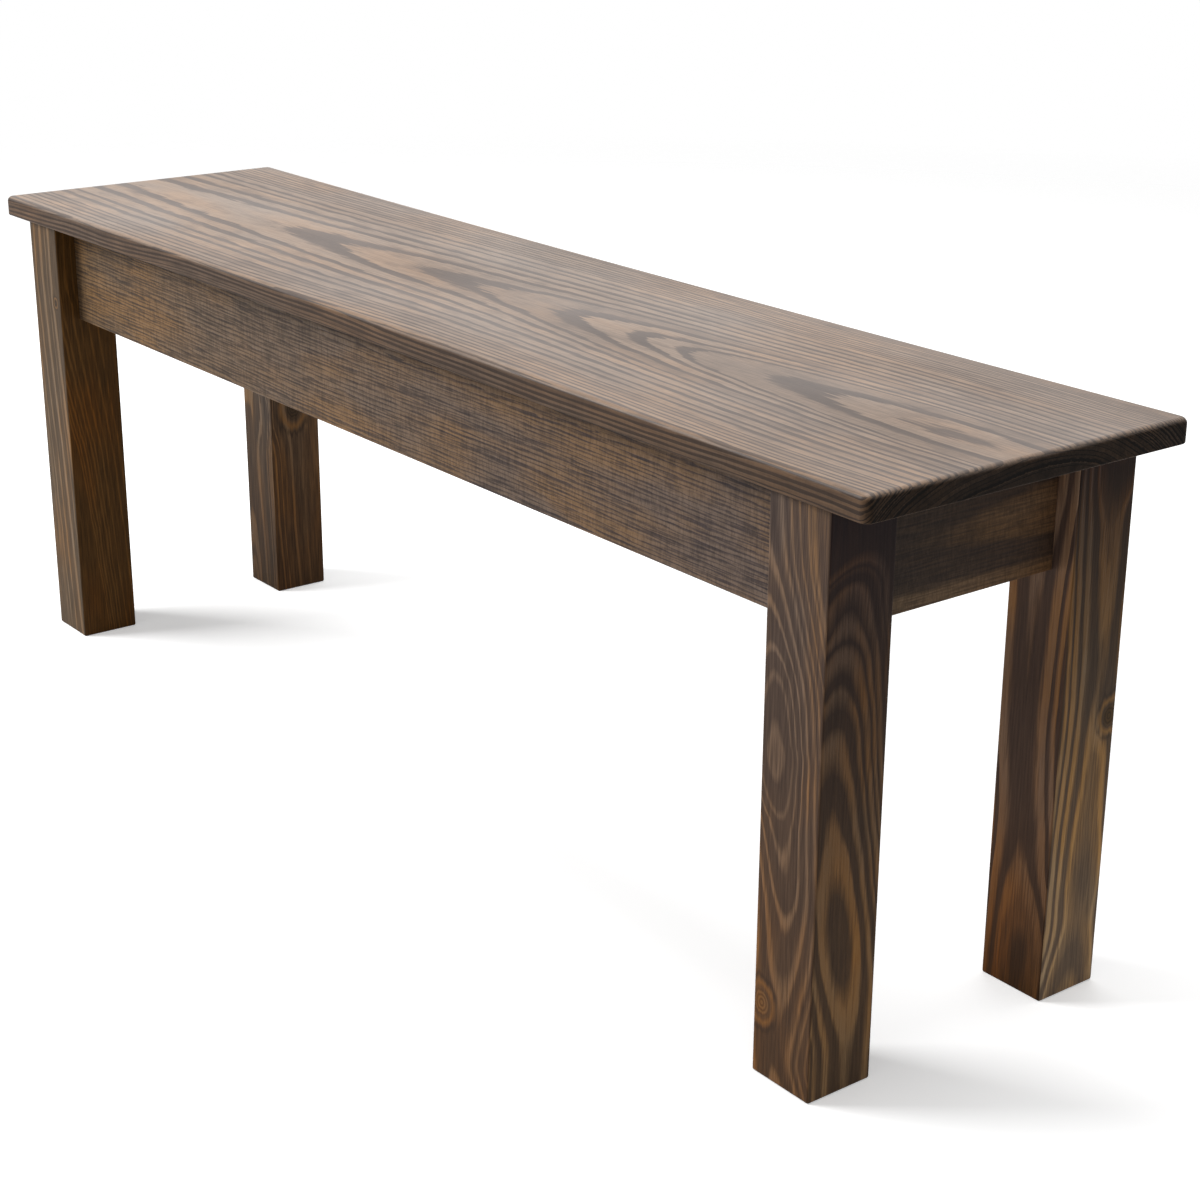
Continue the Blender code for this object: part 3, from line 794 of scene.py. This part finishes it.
def screw_line(name):
    """The ledge that a screw's head bears on, and the way the screw points."""
    low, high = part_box(name)
    spans = high - low
    axis = max(range(3), key=lambda number: spans[number])
    sign = 1 if axis == 2 or low[axis] > 0 else -1
    way = Vector([sign if number == axis else 0 for number in range(3)])
    ledge = (low + high) / 2
    ledge[axis] = (low if sign > 0 else high)[axis] + sign * (HEAD_HEIGHT + HEAD_SEAT_GAP)
    return ledge, way


def sink(piece, name, pocket, shank):
    """Bore a screw hole: a wide pocket back from the ledge, then a way for the shank."""
    ledge, way = screw_line(name)
    drill(piece, ledge - way * pocket, way, pocket, HEAD_DIAMETER + 2 * HEAD_POCKET_CLEARANCE)
    drill(piece, ledge, way, shank, SCREW_DIAMETER)


for corner, way in CORNERS.items():
    outward = way.normalized()
    node = "corner_block_" + corner
    low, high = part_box(node)
    height = high.z - low.z
    block = start_timber("block_" + corner, (-BLOCK_THICKNESS, -height, -height / 2), (0, height, height / 2))
    stand(block, flat_middles[corner] - outward * BLOCK_LEG_GAP, (0, 0, 1), outward)
    for axis in range(2):
        mitre = Vector([way[number] if number == axis else 0 for number in range(3)])
        choose(block, "faces", lambda face: True)
        at_apron = high if way[axis] > 0 else low
        bpy.ops.mesh.bisect(plane_co=at_apron, plane_no=mitre, use_fill=True, clear_outer=True)
        bpy.ops.object.mode_set(mode="OBJECT")
    round_over(block, BLOCK_ROUND, 3)
    through = 2 * BLOCK_THICKNESS
    drill(block, flat_middles[corner] - outward * through, outward, through, BOLT_BORE)
    for number in range(1, 5):
        name = "block_screw_" + corner + "_" + str(number)
        sink(block, name, BLOCK_THICKNESS, BLOCK_THICKNESS)
    smooth(block)
    run = Vector((-outward.y, outward.x, 0))
    wood = pine(
        "block_pine_" + corner,
        flat_middles[corner] - run * height / 2 + Vector((0, 0, height / 2)),
        run,
        (0, 0, -1),
        -outward,
        ring=3.2,
        late=0.34,
        early_colour=(0.640, 0.455, 0.262),
        late_colour=(0.500, 0.275, 0.120),
        gold_colour=(0.560, 0.330, 0.150),
        sawn=0.12,
        end_level=0.80,
        **block_figures[corner],
    )
    fit(block, node, wood)


# Block screws
# Pan head wood screws of plated steel with a cross recess, turned from wire,
# with a rolled thread.  They hold the corner blocks to the aprons.
SCREW_CORE = 0.0029
SCREW_PITCH = 0.0018
SCREW_TIP = 0.0040
THREAD_FROM_HEAD = 0.0020
THREAD_STEPS = 14
RECESS_WIDTH = 0.0042
RECESS_SLOT = 0.0011
RECESS_DEPTH = 0.0017


def turned(name, profile, sides=32):
    """A piece turned round the Z axis; the profile gives places along it and widths."""
    place, width = profile[0]
    at_start = (0, 0, place)
    bpy.ops.mesh.primitive_circle_add(vertices=sides, radius=width / 2, fill_type="NGON", location=at_start)
    bpy.ops.object.transform_apply()
    piece = bpy.context.object
    piece.name = name
    choose(piece, "faces", lambda face: True)
    for next_place, next_width in profile[1:]:
        bpy.ops.mesh.extrude_region_move(TRANSFORM_OT_translate={"value": (0, 0, next_place - place)})
        wider = next_width / width
        bpy.ops.transform.resize(value=(wider, wider, 1.0), center_override=(0, 0, next_place))
        place, width = next_place, next_width
    bpy.ops.mesh.select_all(action="SELECT")
    bpy.ops.mesh.normals_make_consistent()
    bpy.ops.object.mode_set(mode="OBJECT")
    return piece


def join_to(piece, other):
    """Make another body part of a piece."""
    pick(piece)
    other.select_set(True)
    bpy.ops.object.join()


def add_thread(piece, start, end, core, crest, pitch):
    """Wind a sharp ridge round a turned piece, from one place along it to another."""
    reach = (crest - core) / 2
    bpy.ops.mesh.primitive_circle_add(vertices=3, radius=1.0, fill_type="NOTHING")
    ridge = bpy.context.object
    ridge.scale = (pitch * 0.42, reach * 0.80, 1.0)
    bpy.ops.object.transform_apply()
    stand(ridge, (core / 2 + reach * 0.20, 0, start + pitch / 2), (0, 1, 0), (0, 0, 1))
    turns = max(1, round((end - start) / pitch) - 1)
    apply_modifier(ridge, "SCREW", axis="Z", screw_offset=pitch, iterations=turns, steps=THREAD_STEPS)
    choose(ridge, "edges", lambda edge: True)
    bpy.ops.mesh.fill_holes(sides=4)
    bpy.ops.mesh.select_all(action="SELECT")
    bpy.ops.mesh.normals_make_consistent()
    bpy.ops.object.mode_set(mode="OBJECT")
    join_to(piece, ridge)


def copy_of(piece, name):
    """A copy of a piece with a mesh of its own."""
    twin = piece.copy()
    twin.data = piece.data.copy()
    twin.name = name
    bpy.context.scene.collection.objects.link(twin)
    return twin


def make_screw(name, length):
    """A screw standing on the Z axis with its ledge at zero and its tip above."""
    head = turned(
        name,
        [
            (-HEAD_HEIGHT, HEAD_DIAMETER * 0.45),
            (-HEAD_HEIGHT * 0.94, HEAD_DIAMETER * 0.62),
            (-HEAD_HEIGHT * 0.76, HEAD_DIAMETER * 0.82),
            (-HEAD_HEIGHT * 0.48, HEAD_DIAMETER * 0.96),
            (-HEAD_HEIGHT * 0.18, HEAD_DIAMETER),
            (0.0, HEAD_DIAMETER * 0.985),
        ],
    )
    for turn in range(2):
        span, slot = RECESS_WIDTH / 2, RECESS_SLOT / 2
        low = (-span, -slot, -HEAD_HEIGHT * 1.5)
        wing = start_timber("recess", low, (span, slot, RECESS_DEPTH - HEAD_HEIGHT))
        choose(wing, "faces", lambda face: face.normal.z > 0.9)
        bpy.ops.transform.resize(value=(0.35, 0.7, 1.0), center_override=(0, 0, RECESS_DEPTH - HEAD_HEIGHT))
        bpy.ops.object.mode_set(mode="OBJECT")
        stand(wing, (0, 0, 0), (0, 0, 1), (1 - turn, turn, 0))
        cut_away(head, wing)
    shank = turned(
        "shank",
        [
            (-HEAD_HEIGHT * 0.1, SCREW_DIAMETER * 0.85),
            (THREAD_FROM_HEAD * 0.6, SCREW_DIAMETER * 0.85),
            (THREAD_FROM_HEAD, SCREW_CORE),
            (length - SCREW_TIP, SCREW_CORE),
            (length, SCREW_DIAMETER / 8),
        ],
        sides=20,
    )
    add_thread(shank, THREAD_FROM_HEAD, length - SCREW_TIP, SCREW_CORE, SCREW_DIAMETER, SCREW_PITCH)
    join_to(head, shank)
    smooth(head)
    return head


def steel(name, tint, roughness, seed):
    """Zinc plated steel, a little cloudy, with a blue or straw cast in patches."""
    material, tree, shader = new_finish(name)
    place = Wire(tree).node("TexCoord", output=3)
    at = place.node("Mapping", {}, {"Vector": place, "Scale": (MM, MM, MM)})
    cloud = patches(at, (4, 4, 4), seed, detail=2.0)
    speck = patches(at, (0.35, 0.35, 0.35), seed + 5.0)
    cast = ((cloud - 0.4) * 4.0).clamped()
    colour = blend(cast, tint, (0.640, 0.600, 0.500))
    colour = shaded(colour, 0.80 + speck * 0.34)
    colour.join(colour, shader.inputs["Base Color"])
    shader.inputs["Metallic"].default_value = 1.0
    rough = roughness + cloud * 0.24 + speck * 0.10 - 0.14
    rough.join(rough, shader.inputs["Roughness"])
    roughen(shader, speck, 0.25, 0.0001)
    return material


def drive_screws(names):
    """Make one screw, then a copy of it for each of these nodes."""
    low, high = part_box(names[0])
    pattern = make_screw("screw_pattern", max(high - low) - HEAD_HEIGHT)
    for name in names:
        ledge, way = screw_line(name)
        screw = copy_of(pattern, "plated_" + name)
        stand(screw, ledge - way * HEAD_SEAT_GAP, way, (way.y, way.z, way.x))
        fit(screw, name, screw_steel)
    bpy.data.objects.remove(pattern)


screw_steel = steel("screw_plating", (0.560, 0.575, 0.590), 0.34, 80.0)
drive_screws([name for name in screw_names if name.startswith("block_screw")])


# Hanger bolts
# One plated steel bolt for each leg: a coarse wood thread turned into the
# flat of the leg, a plain waist, and a fine machine thread past the block.
BOLT_PAST_NUT = 0.0060
BOLT_CORE = 0.0066
BOLT_WAIST = 0.0074
BOLT_TIP = 0.0080
BOLT_PITCH = 0.00125
LAG_PITCH = 0.0030
MACHINE_LENGTH = 0.0260
NUT_THICKNESS = 0.0065

bolt_steel = steel("bolt_plating", (0.520, 0.535, 0.550), 0.38, 84.0)
past_nut = BOLT_PAST_NUT + NUT_THICKNESS / 2
into_block = (flat_middles["front_right"] - middle_of("nut_front_right")).length
bolt_length = past_nut + into_block + BOLT_IN_LEG
lag_start = bolt_length - BOLT_IN_LEG * 0.85
stud = turned(
    "stud",
    [
        (0.0, BOLT_CORE * 0.80),
        (0.0008, BOLT_CORE),
        (MACHINE_LENGTH, BOLT_CORE),
        (MACHINE_LENGTH + 0.0008, BOLT_WAIST),
        (lag_start - 0.0008, BOLT_WAIST),
        (lag_start, BOLT_CORE),
        (bolt_length - BOLT_TIP, BOLT_CORE),
        (bolt_length, BOLT_DIAMETER / 4),
    ],
)
add_thread(stud, 0.0004, MACHINE_LENGTH, BOLT_CORE, BOLT_DIAMETER, BOLT_PITCH)
add_thread(stud, lag_start, bolt_length - BOLT_TIP, BOLT_CORE, BOLT_DIAMETER, LAG_PITCH)
smooth(stud)
for corner, way in CORNERS.items():
    outward = way.normalized()
    bolt = copy_of(stud, "stud_" + corner)
    stand(bolt, middle_of("nut_" + corner) - outward * past_nut, outward, (0, 0, 1))
    fit(bolt, "hanger_bolt_" + corner, bolt_steel)
bpy.data.objects.remove(stud)


# Washers
# Flat washers stamped from plated steel, slightly rounded at the rim on the
# punched side, one behind each nut.
WASHER_DIAMETER = 0.020
WASHER_THICKNESS = 0.0016
WASHER_RIM = 0.0004

disc = turned(
    "disc",
    [
        (-WASHER_THICKNESS / 2, WASHER_DIAMETER),
        (WASHER_THICKNESS / 2, WASHER_DIAMETER),
    ],
    sides=64,
)
round_over(disc, WASHER_RIM, 3)
drill(disc, (0, 0, -WASHER_THICKNESS / 2), (0, 0, 1), 2 * WASHER_THICKNESS, BOLT_DIAMETER)
smooth(disc)
for corner, way in CORNERS.items():
    washer = copy_of(disc, "flat_washer_" + corner)
    stand(washer, middle_of("washer_" + corner), way, (0, 0, 1))
    fit(washer, "washer_" + corner, screw_steel)
bpy.data.objects.remove(disc)


# Nuts
# Plated hexagon nuts, their corners turned down on both faces and the mouth
# of the thread opened a little.
NUT_ACROSS_FLATS = 0.0130
NUT_MOUTH = 0.0005

nut_corners = NUT_ACROSS_FLATS / math.cos(math.pi / 6)
nut_chamfer = (nut_corners - NUT_ACROSS_FLATS) / 2 / math.sqrt(2)
half = NUT_THICKNESS / 2
hexagon = start_bar((0, 0, -half), (0, 0, 1), NUT_THICKNESS, nut_corners, sides=6)
beyond = 0.001
barrel = turned(
    "barrel",
    [
        (-half - beyond, NUT_ACROSS_FLATS - 2 * math.sqrt(2) * beyond),
        (-half + nut_chamfer, nut_corners),
        (half - nut_chamfer, nut_corners),
        (half + beyond, NUT_ACROSS_FLATS - 2 * math.sqrt(2) * beyond),
    ],
    sides=60,
)
cut_away(hexagon, barrel, "INTERSECT")
drill(hexagon, (0, 0, -half), (0, 0, 1), 2 * NUT_THICKNESS, BOLT_DIAMETER)
bore_edge = BOLT_DIAMETER / 2 + 2 * HOLE_CLEARANCE
round_over(
    hexagon,
    NUT_MOUTH,
    1,
    lambda edge: is_arris(edge) and all(vert.co.xy.length < bore_edge for vert in edge.verts),
)
smooth(hexagon)
for corner, way in CORNERS.items():
    nut = copy_of(hexagon, "hex_nut_" + corner)
    stand(nut, middle_of("nut_" + corner), way, (way.y, -way.x, 0))
    fit(nut, "nut_" + corner, bolt_steel)
bpy.data.objects.remove(hexagon)


# Cross rail
# A short rail of stained pine across the middle, let up against the seat.  It
# is bored for two dowels in each end and two long screws up into the seat.
low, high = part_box("cross_rail")
rail = start_timber("middle_rail", low, high)
round_over(rail, APRON_ROUND, 3)
for name in dowel_names:
    spot = middle_of(name)
    back = spot.y > 0
    depth = abs((high if back else low).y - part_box(name)[0 if back else 1].y)
    spot.y = (high if back else low).y
    drill(rail, spot, (0, -1 if back else 1, 0), depth + HOLE_CLEARANCE, DOWEL_DIAMETER)
rail_screws = [name for name in screw_names if name.startswith("cross_rail_screw")]
for name in rail_screws:
    ledge, way = screw_line(name)
    sink(rail, name, ledge.z - low.z, 2 * (high.z - ledge.z))
smooth(rail)
rail_wood = pine(
    "rail_pine",
    (high.x, low.y, high.z),
    (0, 1, 0),
    (0, 0, -1),
    (-1, 0, 0),
    pith=[(0, 34, 46), (110, 28, 40), (218, 36, 34)],
    ring=4.4,
    sawn=0.2,
    seed=74.0,
)
fit(rail, "cross_rail", rail_wood)


# Rail dowels
# Fluted beech dowels, chamfered at both ends, that tie the ends of the rail
# to the long aprons.
DOWEL_CHAMFER = 0.001
DOWEL_SIDES = 36
FLUTE_EVERY = 3
FLUTE_DEPTH = 0.06


def is_flute(edge):
    """True for every third long edge of a dowel standing on the Z axis."""
    first, second = (vert.co for vert in edge.verts)
    if abs(first.z - second.z) < 2 * DOWEL_CHAMFER:
        return False
    return round(math.atan2(first.y, first.x) / math.tau * DOWEL_SIDES) % FLUTE_EVERY == 0


dowel_low, dowel_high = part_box(dowel_names[0])
reach = (dowel_high.y - dowel_low.y) / 2
peg = turned(
    "peg",
    [
        (-reach, DOWEL_DIAMETER - 2 * DOWEL_CHAMFER),
        (DOWEL_CHAMFER - reach, DOWEL_DIAMETER),
        (reach - DOWEL_CHAMFER, DOWEL_DIAMETER),
        (reach, DOWEL_DIAMETER - 2 * DOWEL_CHAMFER),
    ],
    sides=DOWEL_SIDES,
)
choose(peg, "edges", is_flute)
bpy.ops.transform.resize(value=(1 - FLUTE_DEPTH, 1 - FLUTE_DEPTH, 1.0), center_override=(0, 0, 0))
bpy.ops.object.mode_set(mode="OBJECT")
smooth(peg)

beech_finish, beech_tree, beech_shader = new_finish("dowel_beech")
at = board_place(beech_tree, (0, 0, 0), (0, 1, 0), (1, 0, 0), (0, 0, 1))
flecks = patches(at, (2.2, 0.25, 0.25), 90.0)
bands = patches(at, (40, 3, 3), 92.0)
flecked = blend(((flecks - 0.56) * 9.0).clamped(), (0.620, 0.430, 0.265), (0.370, 0.215, 0.115))
flecked = shaded(flecked, 0.84 + bands * 0.30)
flecked.join(flecked, beech_shader.inputs["Base Color"])
rough = 0.62 - flecks * 0.15
rough.join(rough, beech_shader.inputs["Roughness"])
roughen(beech_shader, flecks, 0.3, 0.0002)
for name in dowel_names:
    dowel = copy_of(peg, "fluted_" + name)
    stand(dowel, middle_of(name), (0, 1, 0), (1, 0, 0))
    fit(dowel, name, beech_finish)
bpy.data.objects.remove(peg)


# Rail screws
# Two long pan head screws, sunk deep in the rail, that draw the middle of the
# seat down.
drive_screws(rail_screws)


# Seat board
# One wide plank of stained pine, flat sawn, its long edges drawn in a little
# at the middle.  The top arris is rounded over by hand and waxed, so the top
# takes a low sheen, and the ends show dark end grain.
SEAT_HOLLOW = 0.006
SEAT_CORNER_RADIUS = 0.007
SEAT_TOP_ROUND = 0.005
SEAT_BOTTOM_ROUND = 0.0015
SEAT_STEPS = 48
NEAR = 0.001

low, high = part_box("seat_board")
seat = start_timber("plank_seat", low, high)
choose(seat, "edges", lambda edge: abs(edge.verts[0].co.x - edge.verts[1].co.x) > high.x)
bpy.ops.mesh.subdivide(number_cuts=SEAT_STEPS - 1)
corner_x = high.x - SEAT_CORNER_RADIUS
for step in range(1, SEAT_STEPS):
    station = low.x + (high.x - low.x) * step / SEAT_STEPS
    drawn_in = SEAT_HOLLOW * max(0.0, 1 - (station / corner_x) ** 2)
    choose(seat, "verts", lambda vert: abs(vert.co.x - station) < NEAR)
    narrower = (1.0, 1 - drawn_in / high.y, 1.0)
    bpy.ops.transform.resize(value=narrower, center_override=(station, 0.0, high.z))
round_over(
    seat,
    SEAT_CORNER_RADIUS,
    6,
    lambda edge: is_arris(edge) and abs(edge.verts[0].co.z - edge.verts[1].co.z) > NEAR,
)


def at_height(level):
    """A test for the sharp edges of the seat at a level."""
    return lambda edge: is_arris(edge) and all(abs(vert.co.z - level) < NEAR for vert in edge.verts)


round_over(seat, SEAT_TOP_ROUND, 6, at_height(high.z))
round_over(seat, SEAT_BOTTOM_ROUND, 3, at_height(low.z))
for name in screw_names:
    screw_low, screw_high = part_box(name)
    if screw_high.z > low.z + NEAR:
        spot = middle_of(name)
        drill(seat, (spot.x, spot.y, low.z), (0, 0, 1), screw_high.z - low.z + HOLE_CLEARANCE, SCREW_DIAMETER)
smooth(seat)
seat_wood = pine(
    "seat_pine",
    (0, 0, high.z),
    (1, 0, 0),
    (0, 1, 0),
    (0, 0, -1),
    pith=[
        (-638, -1.5, 121, 1.09), (-468, -5, 118, 1.11), (-298, -6, 115, 1.13), (-128, -5, 109, 1.17),
        (43, -2, 103, 1.24), (128, -2.5, 96, 1.29), (213, -4, 88, 1.33), (298, -6.5, 79.5, 1.36),
        (383, -7, 71.5, 1.36), (468, -8, 65, 1.36), (553, -10, 60, 1.38), (638, -11.5, 61.5, 1.41),
    ],
    painted_shade_and_tone=((1.06, 1.07, 1.08), (1.06, 1.07, 1.08)),
    growth=[
        57.5, 67, 81, 85.5, 94, 105, 112.5, 122.5, 131.5, 144.5, 153, 164.5, 169, 175.5, 181.5,
        187, 193, 201.5, 205.5, 210, 215, 220.5, 224, 228, 232, 235.5, 239, 243.5, 249, 254.5,
    ],
    side_heart=(-10.0, 210.0),
    side_ring=3.0,
    ring=5.0,
    late=0.64,
    soft=0.06,
    uneven=0.0,
    lean=0.0004,
    wander=0.0,
    feather=0.50,
    broken=0.14,
    blotches=0.35,
    late_colour=(0.226, 0.158, 0.113),
    gold_colour=(0.245, 0.156, 0.098),
    early_colour=(0.078, 0.056, 0.045),
    length=638.0,
    sheen=0.9,
    sawn=0.10,
    # the edges and underside painted darker than the top: their own darker tone and painted shade
    edge_tone_and_painted_shade=(0.465, 0.425, 0.390),
    end_level=0.18,
    seed=50.0,
)
fit(seat, "seat_board", seat_wood)


# Seat clips
# Straps of plated steel bent twice, a tongue in the slot of an apron and a
# foot against the underside of the seat, so that the plank can swell and move.
CLIP_WIDTH = 0.0190
CLIP_FOOT = 0.0210
CLIP_STAND_OFF = 0.0030
CLIP_DROP = 0.0110
CLIP_TONGUE = 0.0090
CLIP_GAP = 0.0003
CLIP_BEND = 0.0008
CLIP_END_RADIUS = 0.0030
CLIP_BURR = 0.0002

bpy.ops.mesh.primitive_plane_add(size=1.0, location=(CLIP_STAND_OFF + CLIP_FOOT / 2, 0, -CLIP_GAP))
strap = bpy.context.object
strap.name = "strap"
strap.scale = (CLIP_FOOT, CLIP_WIDTH, 1.0)
bpy.ops.object.transform_apply()
choose(strap, "edges", lambda edge: all(vert.co.x < CLIP_STAND_OFF + CLIP_GAP for vert in edge.verts))
bpy.ops.mesh.extrude_region_move(TRANSFORM_OT_translate={"value": (0, 0, CLIP_GAP - CLIP_DROP)})
bpy.ops.mesh.extrude_region_move(TRANSFORM_OT_translate={"value": (-CLIP_STAND_OFF - CLIP_TONGUE, 0, 0)})
bpy.ops.object.mode_set(mode="OBJECT")


def fold_at(drop):
    """A test for the fold of the strap this far down."""
    near = CLIP_GAP / 2
    return lambda edge: len(edge.link_faces) == 2 and all(abs(vert.co.z + drop) < near for vert in edge.verts)


round_over(strap, CLIP_BEND + CLIP_STEEL, 6, fold_at(CLIP_GAP))
round_over(strap, CLIP_BEND, 6, fold_at(CLIP_DROP))
apply_modifier(strap, "SOLIDIFY", thickness=CLIP_STEEL, offset=-1.0, use_even_offset=True)
strap_ends = (CLIP_STAND_OFF + CLIP_FOOT, -CLIP_TONGUE)


def at_end_corner(edge):
    """True for the short corner edges at both ends of the strap."""
    first, second = (vert.co for vert in edge.verts)
    upright = abs((first - second).z) > CLIP_STEEL / 2
    return upright and any(abs(first.x - end) < CLIP_GAP for end in strap_ends)


round_over(strap, CLIP_END_RADIUS, 6, at_end_corner)
round_over(strap, CLIP_BURR, 2)
hole_reach = CLIP_STAND_OFF + (CLIP_FOOT + CLIP_STEEL) / 2
drill(strap, (hole_reach, 0, -CLIP_GAP - CLIP_STEEL), (0, 0, 1), 2 * CLIP_STEEL, SCREW_DIAMETER)
smooth(strap)
for name in clip_names:
    low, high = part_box(name)
    spans = high - low
    axis = 0 if spans.x > spans.y else 1
    spot = (low + high) / 2
    sign = -1 if spot[axis] > 0 else 1
    spot[axis] = (low if sign > 0 else high)[axis] + sign * CLIP_TONGUE
    spot.z = high.z + CLIP_GAP
    clip = copy_of(strap, "bent_" + name)
    stand(clip, spot, (0, 0, 1), [sign if number == axis else 0 for number in range(3)])
    fit(clip, name, bolt_steel)
bpy.data.objects.remove(strap)


# Clip screws
# Short pan head screws up through the clips into the seat.
drive_screws([name for name in screw_names if name.startswith("seat_clip")])


# Studio
# A plain pale floor that keeps a soft shadow and is clear far out and from
# beneath, a white surround, and large soft lamps from the front left and
# overhead.
FLOOR_GLOW = 0.35
FLOOR_CLEAR_FROM = 2.2
FLOOR_FADE = 1.6
SURROUND_LIGHT = 0.35

bpy.ops.mesh.primitive_plane_add(size=12.0)
floor = bpy.context.object
floor.name = "studio_floor"
floor_paint, floor_tree, paint_shader = new_finish("studio_floor_paint")
paint = Wire(floor_tree)
path = paint.node("LightPath")
seen = path.maths("MAXIMUM", path.also(3))
floor_colour = blend(seen, (0.45, 0.45, 0.45), (0.93, 0.93, 0.93))
floor_colour.join(floor_colour, paint_shader.inputs["Base Color"])
paint_shader.inputs["Emission Color"].default_value = (1.0, 1.0, 1.0, 1.0)
glow = seen * FLOOR_GLOW
glow.join(glow, paint_shader.inputs["Emission Strength"])
clear = paint.node("BsdfTransparent")
spot = paint.node("TexCoord", output=3)
far = (spot.vector("LENGTH", output=1) - FLOOR_CLEAR_FROM) / FLOOR_FADE
from_beneath = paint.node("NewGeometry", output=6)
unseen = far.clamped().maths("MAXIMUM", from_beneath)
floor_mix = paint.node("MixShader", {}, {0: unseen, 1: Wire(paint.tree, paint_shader.outputs[0]), 2: clear})
paint.join(floor_mix, floor_tree.nodes["Material Output"].inputs["Surface"])
paint_shader.inputs["Roughness"].default_value = 1.0
paint_shader.inputs["Specular IOR Level"].default_value = 0.0
floor.data.materials.append(floor_paint)

world = bpy.data.worlds.new("studio_surround")
bpy.context.scene.world = world
world.use_nodes = True
surround = Wire(world.node_tree)
path = surround.node("LightPath")
shown = path.maths("MAXIMUM", path.also(3))
shown = shown.maths("MAXIMUM", path.also(6))
background = world.node_tree.nodes["Background"]
background.inputs["Color"].default_value = (1.0, 1.0, 1.0, 1.0)
strength = SURROUND_LIGHT + shown * (1.0 - SURROUND_LIGHT)
strength.join(strength, background.inputs["Strength"])


def add_lamp(name, place, aim, size, power):
    """A square soft box pointed at a place."""
    lamp = bpy.data.lights.new(name, "AREA")
    lamp.shape = "SQUARE"
    lamp.size = size
    lamp.energy = power
    holder = bpy.data.objects.new(name, lamp)
    bpy.context.scene.collection.objects.link(holder)
    holder.location = place
    holder.rotation_euler = (Vector(aim) - Vector(place)).to_track_quat("-Z", "Y").to_euler()


add_lamp("key_lamp", place=(-2.4, -2.6, 2.4), aim=(0, 0, 0.3), size=1.8, power=165.0)
add_lamp("overhead_lamp", place=(0.0, 0.4, 3.2), aim=(0, 0, 0.4), size=2.2, power=60.0)

CAMERA_PLACE = Vector((1.61975, -1.11838, 0.88843))
CAMERA_AHEAD = Vector((-0.7442, 0.5727, -0.3439))
CAMERA_ROLL = math.radians(0.31)
lens = bpy.data.cameras.new("photo_camera")
lens.sensor_width = 36.0
lens.lens = 69.5
lens.clip_start = 0.05
lens.clip_end = 50.0
camera = bpy.data.objects.new("photo_camera", lens)
bpy.context.scene.collection.objects.link(camera)
camera.location = CAMERA_PLACE
camera.rotation_mode = "QUATERNION"
camera.rotation_quaternion = CAMERA_AHEAD.to_track_quat("-Z", "Y") @ Quaternion((0, 0, 1), CAMERA_ROLL)
bpy.context.scene.camera = camera
bpy.context.scene.view_settings.view_transform = "Standard"
